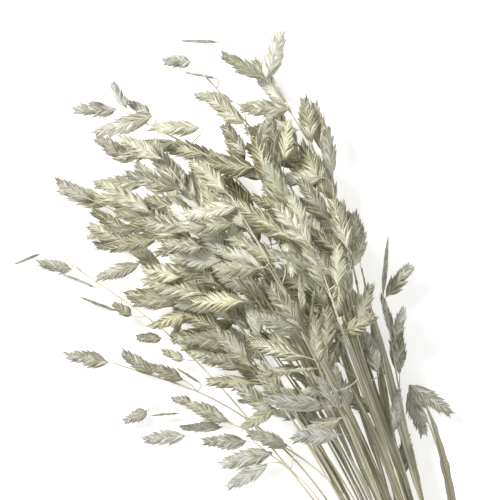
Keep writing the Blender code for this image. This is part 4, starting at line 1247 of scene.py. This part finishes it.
def culm_piece(stem, draw):
    """The jointed culm, its cut foot, and the hair-thin stalks of its spikelets."""
    line = stem["line"]
    travelled = measured(line)
    length = travelled[-1]
    joints = []
    place = millimetres(draw, FIRST_JOINT)
    while place < length - JOINT_FREE_END:
        joints.append(place)
        place += millimetres(draw, JOINT_STEP)
    shares = culm_shares(length, joints)
    rings = [point_at(line, travelled, share * length) for share in shares]
    radii, marks = [], []
    for share, point in zip(shares, rings):
        gap = min((abs(share * length - joint) for joint in joints), default=length)
        ripple = rippled(CULM_RIPPLE, share, stem["top"] * RIPPLE_BY_STEM)
        swell = 1 + JOINT_SWELL * math.exp(-(gap / JOINT_HALF) ** 2)
        radii.append(culm_radius(stem, point) * CULM_SHRINKING * ripple * swell)
        marks.append(math.exp(-(gap / JOINT_STAIN) ** 2))
    bm = bmesh.new()
    light = draw.random()
    add_tube(bm, rings, radii, CULM_SIDES, light, marks)
    for piece in stem["spikelets"]:
        add_stalk(bm, line, piece, light)
    foot = min((face for face in bm.faces if len(face.verts) == CULM_SIDES),
               key=lambda face: face.calc_center_median().y)
    bmesh.ops.inset_region(bm, faces=[foot], thickness=FOOT_WALL)
    bmesh.ops.translate(bm, verts=foot.verts, vec=Vector((0, FOOT_HOLLOW, 0)))
    return keep_mesh(bm, stem["name"] + "_culm")


def add_strip(bm, rows, columns, length, tone, shape):
    """Adds a thin strip: shape gives the place of each point from how far across it and up it lies."""
    strip = bmesh.new()
    bmesh.ops.create_grid(strip, x_segments=columns, y_segments=rows, size=1.0)
    uv = strip.loops.layers.uv.new("UVMap")
    light = strip.verts.layers.float.new("light")
    for face in strip.faces:
        face.smooth = True
        for loop in face.loops:
            loop[uv].uv = (loop.vert.co.x * 0.5 + 0.5, (loop.vert.co.y * 0.5 + 0.5) * length)
    for vert in strip.verts:
        vert[light] = tone
        vert.co = shape(vert.co.x, vert.co.y * 0.5 + 0.5)
        vert.co.z = max(vert.co.z, LEAF_WALL + TABLE_SKIN)
    bmesh.ops.solidify(strip, geom=strip.faces[:], thickness=LEAF_WALL)
    bmesh.ops.recalc_face_normals(strip, faces=strip.faces)
    mesh = keep_mesh(strip, "strip")
    bm.from_mesh(mesh)
    bpy.data.meshes.remove(mesh)


def add_blade(bm, leaf, flat, draw):
    """A long blade with a fold along its middle, crinkled edges and a drawn-out tip."""
    line = smooth_route(leaf["points"], BLADE_FINENESS)
    travelled = measured(line)
    length = travelled[-1]
    twist = math.radians(either_way(draw, BLADE_TWIST))
    wave = draw.uniform(0, math.tau)
    half = LEAF_WIDTH / 2 * draw.uniform(*BLADE_SHARE)
    fold = math.radians(draw.uniform(*BLADE_FOLD))
    if flat:
        half, fold = LEAF_WIDTH / 2 * BLADE_SHARE[1], math.radians(BLADE_FOLD[0])

    def shape(across, share):
        middle, ahead, behind = (point_at(line, travelled, clamp(share + step) * length)
                                 for step in (0.0, BLADE_LOOK, -BLADE_LOOK))
        run = (ahead - behind).normalized()
        side = (leaf["side"] - run * leaf["side"].dot(run)).normalized()
        face = side.cross(run)
        side, face = between(side, face, twist * share), between(face, side, -twist * share)
        wide = half * min(BLADE_ROOT + BLADE_SPREADING * share, 1.0)
        wide *= (1 - max(share - BLADE_TAPERS_AT, 0) / (1 - BLADE_TAPERS_AT)) ** BLADE_TAPER
        wide = max(wide * rippled(BLADE_WAVER, share, wave), BLADE_TIP)
        (coarse, high), (fine, low) = BLADE_CRINKLES
        crinkle = math.sin(share * coarse + wave + across * CRINKLE_SLANT) * high
        crinkle += math.sin(share * fine + wave * 2) * low
        raised = (abs(across) - FOLD_SUNK) * math.sin(fold) + crinkle * abs(across)
        return middle + side * across * math.cos(fold) * wide + face * raised * wide

    add_strip(bm, *BLADE_GRID, length, draw.random(), shape)


def add_sheath(bm, stem, start, length, draw):
    """A dry sheath wrapped round a culm, which opens and tears to a point at its top."""
    line = stem["line"]
    travelled, frames = measured(line), carried_frames(line)
    facing = draw.uniform(0, math.tau)
    loose = draw.uniform(*SHEATH_LOOSE)
    slant = either_way(draw, SHEATH_SLANT)

    def shape(across, share):
        torn = 1 - TORN_SHARE * (abs(across) ** TORN_POWER + slant * across * 0.5)
        reach = start + length * share * min(torn, 1.0)
        middle = point_at(line, travelled, reach)
        side, face = frames[min(range(len(line)), key=lambda index: abs(travelled[index] - reach))]
        opened = max(share - SHEATH_OPENS_AT, 0.0) / (1 - SHEATH_OPENS_AT)
        turn = facing + across * math.pi * (SHEATH_WRAP - SHEATH_UNWRAP * opened)
        grown = min(share * SHEATH_WIDENING, 1.0)
        swell = loose * (1 - SHEATH_TIGHT + SHEATH_TIGHT * grown) + SHEATH_FLARE * opened ** 2
        ripple = rippled(SHEATH_RIPPLE, across, facing * RIPPLE_BY_FACING)
        return middle + between(side, face, turn) * culm_radius(stem, middle) * swell * ripple

    add_strip(bm, *SHEATH_GRID, length, draw.random(), shape)


def leaf_piece(stem, draw):
    """The blade of a stem, if it kept one, and its dry sheaths, or None where it has neither."""
    line = stem["line"]
    travelled = measured(line)
    at_fan = min(line, key=lambda point: abs(point.y - FAN_Y))
    sheaths = []
    chance = SHEATH_CHANCE_RIGHT if at_fan.x > SHEATH_FROM_X else SHEATH_CHANCE_LEFT
    for starts in SHEATH_STARTS:
        place, size = millimetres(draw, starts), millimetres(draw, SHEATH_LENGTH)
        if draw.random() < chance and place + size < travelled[-1] - SHEATH_FREE_END:
            sheaths.append((place, size))
    if not sheaths and not stem["leaf"]:
        return None
    bm = bmesh.new()
    if stem["leaf"]:
        add_blade(bm, stem["leaf"], stem["name"] in SET_LEAVES, draw)
        root = stem["leaf"]["points"][0]
        nearest = min(range(len(line)), key=lambda index: (line[index] - root).length)
        below = max(travelled[nearest] - SHEATH_BELOW_BLADE, LOWEST_SHEATH)
        sheaths = [(below, BLADE_SHEATH)] + sheaths[-1:]
    for place, size in sheaths:
        add_sheath(bm, stem, place, size, draw)
    return keep_mesh(bm, stem["name"] + "_leaf")


def band_mesh(centre):
    """An elastic band wound round the stems, its last turn crossing the others on top."""

    def spot(angle, share, width, out=0.0):
        reach = centre - BAND_STRAND + out
        along_stems = TIE_Y + (share - 0.5) * width
        return Vector((reach * math.cos(angle), along_stems, centre + reach * math.sin(angle)))

    steps = BAND_TURNS * BAND_STEPS
    wound = [spot(math.tau * step / BAND_STEPS - math.pi / 2, step / steps, BAND_WIDTH)
             for step in range(steps + 1)]
    crossing = []
    for step in range(CROSSING_STEPS + 1):
        share = step / CROSSING_STEPS
        angle = math.radians(CROSSING_FROM + CROSSING_TURN * share)
        crossing.append(spot(angle, share, CROSSING_WIDTH, CROSSING_HUMP * math.sin(math.pi * share)))
    bm = bmesh.new()
    for route in (wound, crossing):
        add_tube(bm, route, [BAND_STRAND] * len(route), BAND_SIDES)
    return keep_mesh(bm, "band")


def feed(tree, target, source):
    """Sets a socket to a value, or joins another socket to it."""
    if isinstance(source, (int, float, tuple)):
        target.default_value = source
    else:
        tree.links.new(source, target)


def add(tree, kind, sockets=None, **settings):
    """Adds a node with its settings, and feeds its sockets."""
    node = tree.nodes.new(kind)
    for name, value in settings.items():
        setattr(node, name, value)
    for name, value in (sockets or {}).items():
        feed(tree, node.inputs[name], value)
    return node


def maths(tree, operation, *values):
    return add(tree, "ShaderNodeMath", dict(enumerate(values)), operation=operation).outputs[0]


def times(tree, a, b):
    return maths(tree, "MULTIPLY", a, b)


def swayed(tree, value, mask, amount):
    """A value raised and lowered by a mask from 0 to 1, by half the amount each way."""
    return maths(tree, "ADD", value, times(tree, maths(tree, "SUBTRACT", mask, 0.5), amount))


def ramp_up(tree, value, low, high, top=1.0):
    """Rises smoothly from 0 to top as the value goes from low to high."""
    sockets = {"Value": value, "From Min": low, "From Max": high, "To Min": 0.0, "To Max": top}
    return add(tree, "ShaderNodeMapRange", sockets, interpolation_type="SMOOTHSTEP").outputs["Result"]


def blend(tree, share, a, b, kind="MIX"):
    """A colour between two colours, or with MULTIPLY the first tinted by the second."""
    sockets = {"Factor": share, "A": a, "B": b}
    return add(tree, "ShaderNodeMix", sockets, data_type="RGBA", blend_type=kind).outputs["Result"]


def colour_ramp(tree, value, stops):
    node = add(tree, "ShaderNodeValToRGB", {"Fac": value})
    elements = node.color_ramp.elements
    while len(elements) < len(stops):
        elements.new(0.5)
    for element, (place, colour) in zip(elements, stops):
        element.position = place
        element.color = colour
    return node.outputs["Color"]


def new_group(name, inputs, outputs):
    """An empty node group with its named sockets, and the nodes that hold them."""
    group = bpy.data.node_groups.new(name, "ShaderNodeTree")
    for socket, value in inputs.items():
        made = group.interface.new_socket(name=socket, in_out="INPUT", socket_type="NodeSocketFloat")
        made.default_value = value
    for socket in outputs:
        group.interface.new_socket(name=socket, in_out="OUTPUT", socket_type="NodeSocketFloat")
    return group, add(group, "NodeGroupInput").outputs, add(group, "NodeGroupOutput").inputs


def long_fibres_group():
    """Fine lines that run along a dried husk, culm or blade: how light each is, and how high it stands."""
    group, given, result = new_group(
        "long_fibres", {"Across": 0.0, "Along": 0.0, "Seed": 0.0, "Lines": 10.0, "Breaks": 1.0},
        ("Streak", "Height"))
    place = add(group, "ShaderNodeCombineXYZ", {
        "X": times(group, given["Across"], given["Lines"]),
        "Y": times(group, given["Along"], given["Breaks"]),
        "Z": times(group, given["Seed"], FIBRE_SEED_STEP)}).outputs["Vector"]
    both = 0.0
    for scale, detail, part in FIBRE_NOISES:
        noise = add(group, "ShaderNodeTexNoise", {"Vector": place, "Scale": scale, "Detail": detail})
        both = maths(group, "MULTIPLY_ADD", noise.outputs["Fac"], part, both)
    feed(group, result["Streak"], ramp_up(group, both, *FIBRE_CONTRAST))
    feed(group, result["Height"], both)
    return group


def weathering_group():
    """Uneven patches left by drying: a mask from 0 to 1."""
    group, given, result = new_group("weathering", {"Patches": 60.0, "Seed": 0.0}, ("Mask",))
    where = add(group, "ShaderNodeTexCoord").outputs["Object"]
    moved = add(group, "ShaderNodeVectorMath", {0: where, 1: given["Seed"]}, operation="ADD")
    noise = add(group, "ShaderNodeTexNoise", {
        "Vector": moved.outputs["Vector"], "Scale": given["Patches"], "Detail": PATCH_DETAIL})
    feed(group, result["Mask"], ramp_up(group, noise.outputs["Fac"], *PATCH_CONTRAST))
    return group


def set_group(tree, group, **values):
    """Places a group in a tree, with its own values."""
    return add(tree, "ShaderNodeGroup", values, node_tree=group).outputs


def new_material(name, specular, sheen=0.0):
    """A material, its tree and its shader, with what stays the same all over the surface."""
    material = bpy.data.materials.new(name)
    material.use_nodes = True
    shader = material.node_tree.nodes["Principled BSDF"]
    for socket, value in (("Metallic", 0.0), ("Specular IOR Level", specular), ("Sheen Weight", sheen)):
        shader.inputs[socket].default_value = value
    return material, material.node_tree, shader


def surface_uv(tree):
    uv = add(tree, "ShaderNodeUVMap", uv_map="UVMap").outputs["UV"]
    split = add(tree, "ShaderNodeSeparateXYZ", {"Vector": uv})
    return split.outputs["X"], split.outputs["Y"]


def attribute(tree, name):
    return add(tree, "ShaderNodeAttribute", attribute_name=name).outputs["Fac"]


def set_surface(tree, shader, colour, rough_mask, height, surface):
    """Joins a colour to the shader, with the roughness and the relief that its surface gives."""
    least, more, distance, strength = surface
    feed(tree, shader.inputs["Base Color"], colour)
    feed(tree, shader.inputs["Roughness"], maths(tree, "MULTIPLY_ADD", rough_mask, more, least))
    bump = add(tree, "ShaderNodeBump", {"Distance": distance, "Strength": strength, "Height": height})
    feed(tree, shader.inputs["Normal"], bump.outputs["Normal"])


def husk_material(fibres, weathering):
    """Satin papery husks with fine nerves, painted shadow where they come out from under others, and a pale
    margin with a painted highlight on it.
    """
    material, tree, shader = new_material("husk", HUSK_SPECULAR, HUSK_SHEEN)
    across, up = surface_uv(tree)
    tone, warmth, green = (attribute(tree, layer) for layer in HUSK_LAYERS)
    lines = set_group(tree, fibres, Across=across, Along=up, Seed=tone, **HUSK_FIBRES)
    shade = swayed(tree, tone, set_group(tree, weathering, **HUSK_PATCHES)["Mask"], HUSK_PATCH_SHADE)
    shade = swayed(tree, shade, lines["Streak"], HUSK_FIBRE_SHADE)
    # Golden spikelets get a stronger painted shadow and painted highlight
    painted_light = ramp_up(tree, warmth, *PAINTED_LIGHT_WARMTH)
    # Painted shadow where a husk comes out from under the next one
    under = times(tree, ramp_up(tree, across, *PAINTED_SHADOW_ACROSS), ramp_up(tree, up, *PAINTED_SHADOW_UP))
    under = times(tree, under, maths(tree, "MULTIPLY_ADD", painted_light, *PAINTED_SHADOW_DEPTH))
    # The margin: its own paleness, plus a painted highlight on golden spikelets
    pale = maths(tree, "MULTIPLY_ADD", painted_light, *MARGIN_PALENESS_AND_HIGHLIGHT)
    pale = times(tree, ramp_up(tree, across, *MARGIN_ACROSS), pale)
    shade = maths(tree, "ADD", maths(tree, "SUBTRACT", shade, under), pale)
    colour = colour_ramp(tree, shade, HUSK_STOPS)
    colour = blend(tree, 1.0, colour, blend(tree, warmth, SILVER_TINT, GOLD_TINT), "MULTIPLY")
    colour = blend(tree, ramp_up(tree, up, *TIP_SPAN), colour, TIP_BROWN)
    colour = blend(tree, times(tree, green, ramp_up(tree, up, *GREEN_SPAN)), colour, FRESH_GREEN)
    set_surface(tree, shader, colour, lines["Streak"], lines["Height"], HUSK_SURFACE)
    return material


def stem_colour(tree, colour, mask, stain_share, stain):
    """A stained colour, duller or brighter as its piece is."""
    colour = blend(tree, times(tree, mask, stain_share), colour, stain)
    return blend(tree, 1.0, colour, blend(tree, attribute(tree, "light"), DULL_TINT, BRIGHT_TINT), "MULTIPLY")


def culm_material(fibres, weathering):
    """Dull straw canes with long streaks, darker and a little green at their joints."""
    material, tree, shader = new_material("culm", CULM_SPECULAR)
    around, up = surface_uv(tree)
    lines = set_group(tree, fibres, Across=around, Along=up, **CULM_FIBRES)
    patch = set_group(tree, weathering, **CULM_PATCHES)["Mask"]
    streaked = blend(tree, lines["Streak"], STEM_GREY, STEM_PALE)
    colour = stem_colour(tree, streaked, patch, CULM_STAIN, STEM_DARK)
    joint = attribute(tree, "joint")
    colour = blend(tree, ramp_up(tree, joint, *JOINT_GREEN_SPAN), colour, JOINT_GREEN)
    colour = blend(tree, ramp_up(tree, joint, *JOINT_DARK_SPAN), colour, STEM_DARK)
    set_surface(tree, shader, colour, lines["Streak"], lines["Height"], CULM_SURFACE)
    return material


def leaf_material(fibres, weathering):
    """Dry blades and sheaths: parallel veins, a dark fold and dark edges, and browned patches."""
    material, tree, shader = new_material("leaf", LEAF_SPECULAR)
    across, up = surface_uv(tree)
    lines = set_group(tree, fibres, Across=across, Along=up, **LEAF_FIBRES)
    patch = set_group(tree, weathering, **LEAF_PATCHES)["Mask"]
    veined = colour_ramp(tree, lines["Streak"], LEAF_STOPS)
    colour = stem_colour(tree, veined, patch, LEAF_STAIN, LEAF_BROWN)
    off_middle = maths(tree, "ABSOLUTE", maths(tree, "SUBTRACT", across, 0.5))
    for span in (FOLD_SPAN, EDGE_SPAN):
        colour = blend(tree, ramp_up(tree, off_middle, *span), colour, LEAF_DARK)
    set_surface(tree, shader, colour, lines["Streak"], lines["Height"], LEAF_SURFACE)
    return material


def band_material(weathering):
    """Matt tan rubber, a little dusty."""
    material, tree, shader = new_material("elastic_band", BAND_SPECULAR)
    patch = set_group(tree, weathering, **BAND_PATCHES)["Mask"]
    colour = blend(tree, times(tree, patch, BAND_DUSTY), BAND_TAN, BAND_DUST)
    set_surface(tree, shader, colour, patch, patch, BAND_SURFACE)
    return material


def set_piece(mesh, name, material, shift, node):
    """Puts a finished mesh into the scene, in its place in the frame, in place of its plain solid."""
    mesh.transform(Matrix.Translation(shift))
    mesh.materials.append(material)
    piece = bpy.data.objects.new(name, mesh)
    bpy.context.scene.collection.objects.link(piece)
    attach(piece, "root")
    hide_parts(node)


def husks_piece(stem, templates, draw):
    """All the spikelets of a stem in one mesh."""
    bm = bmesh.new()
    for piece in stem["spikelets"]:
        mesh = spikelet_mesh(piece, templates, draw)
        bm.from_mesh(mesh)
        bpy.data.meshes.remove(mesh)
    return keep_mesh(bm, stem["name"] + "_husks")


def dress_bunch():
    """Makes every piece of the bunch, and returns how far its layout is shifted to lie in the frame."""
    stems, centre, room = lay_out()
    add_fillers(stems, room)
    low, high = (Vector(corner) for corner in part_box("tie"))
    shift = (low + high) / 2 - Vector((0, TIE_Y, centre))
    fibres, weathering = long_fibres_group(), weathering_group()
    husk, culm = husk_material(fibres, weathering), culm_material(fibres, weathering)
    leaf, band = leaf_material(fibres, weathering), band_material(weathering)
    templates = [husk_template(f"husk_{number}", curl, cup)
                 for number, (curl, cup) in enumerate(HUSK_BENDS)]
    draw = random.Random(SEED + 3)
    for stem in stems:
        stem["line"] = smooth_route(stem["culm"], CULM_FINENESS)
        pieces = [(husks_piece(stem, templates, draw), husk), (culm_piece(stem, draw), culm),
                  (leaf_piece(stem, draw), leaf)]
        for mesh, material in pieces:
            if mesh:
                set_piece(mesh, mesh.name, material, shift, stem["name"])
    set_piece(band_mesh(centre), "elastic_band", band, shift, "tie")
    for mesh in templates + list(TUBES.values()):
        bpy.data.meshes.remove(mesh)
    return shift


def set_floor():
    """A plain pale surface under the bunch."""
    bm = bmesh.new()
    bmesh.ops.create_grid(bm, x_segments=1, y_segments=1, size=FLOOR_HALF)
    bmesh.ops.translate(bm, verts=bm.verts, vec=Vector((0, 0, -FLOOR_BELOW)))
    mesh = keep_mesh(bm, "floor")
    material, _, shader = new_material("pale_floor", FLOOR_SPECULAR)
    for socket, value in (("Base Color", FLOOR_GREY), ("Roughness", FLOOR_ROUGHNESS),
                          ("Emission Color", WHITE), ("Emission Strength", FLOOR_GLOW)):
        shader.inputs[socket].default_value = value
    mesh.materials.append(material)
    floor = bpy.data.objects.new("floor", mesh)
    bpy.context.scene.collection.objects.link(floor)


def set_light(name, place, target, size, power, colour):
    data = bpy.data.lights.new(name, "AREA")
    data.shape = "DISK"
    data.size = size
    data.energy = power
    data.color = colour
    light = bpy.data.objects.new(name, data)
    light.location = place
    light.rotation_euler = (target - place).to_track_quat("-Z", "Y").to_euler()
    bpy.context.scene.collection.objects.link(light)


def set_studio(shift):
    """A camera above the head as in the photograph, a soft key from its upper left, and white air."""
    aim = Vector((VIEW_AIM[0] + shift.x, VIEW_AIM[1] + shift.y, VIEW_HEIGHT))
    data = bpy.data.cameras.new("camera")
    data.lens = LENS
    data.sensor_width = SENSOR
    data.clip_end = CLIP_END
    camera = bpy.data.objects.new("camera", data)
    camera.location = aim + Vector((0, 0, VIEW_WIDTH / SENSOR * LENS))
    camera.rotation_euler = (0, 0, math.radians(VIEW_TURN))
    bpy.context.scene.collection.objects.link(camera)
    bpy.context.scene.camera = camera
    turn = Matrix.Rotation(math.radians(VIEW_TURN), 3, "Z")
    for name, place, size, power, colour in LIGHTS:
        set_light(name, aim + turn @ Vector(place), aim, size, power, colour)
    world = bpy.data.worlds.new("studio")
    bpy.context.scene.world = world
    world.use_nodes = True
    background = world.node_tree.nodes["Background"]
    background.inputs["Color"].default_value = WHITE
    seen = add(world.node_tree, "ShaderNodeLightPath").outputs["Is Camera Ray"]
    feed(world.node_tree, background.inputs["Strength"],
         maths(world.node_tree, "MAXIMUM", seen, AIR_STRENGTH))
    bpy.context.scene.view_settings.view_transform = "Standard"


shift = dress_bunch()
set_floor()
set_studio(shift)
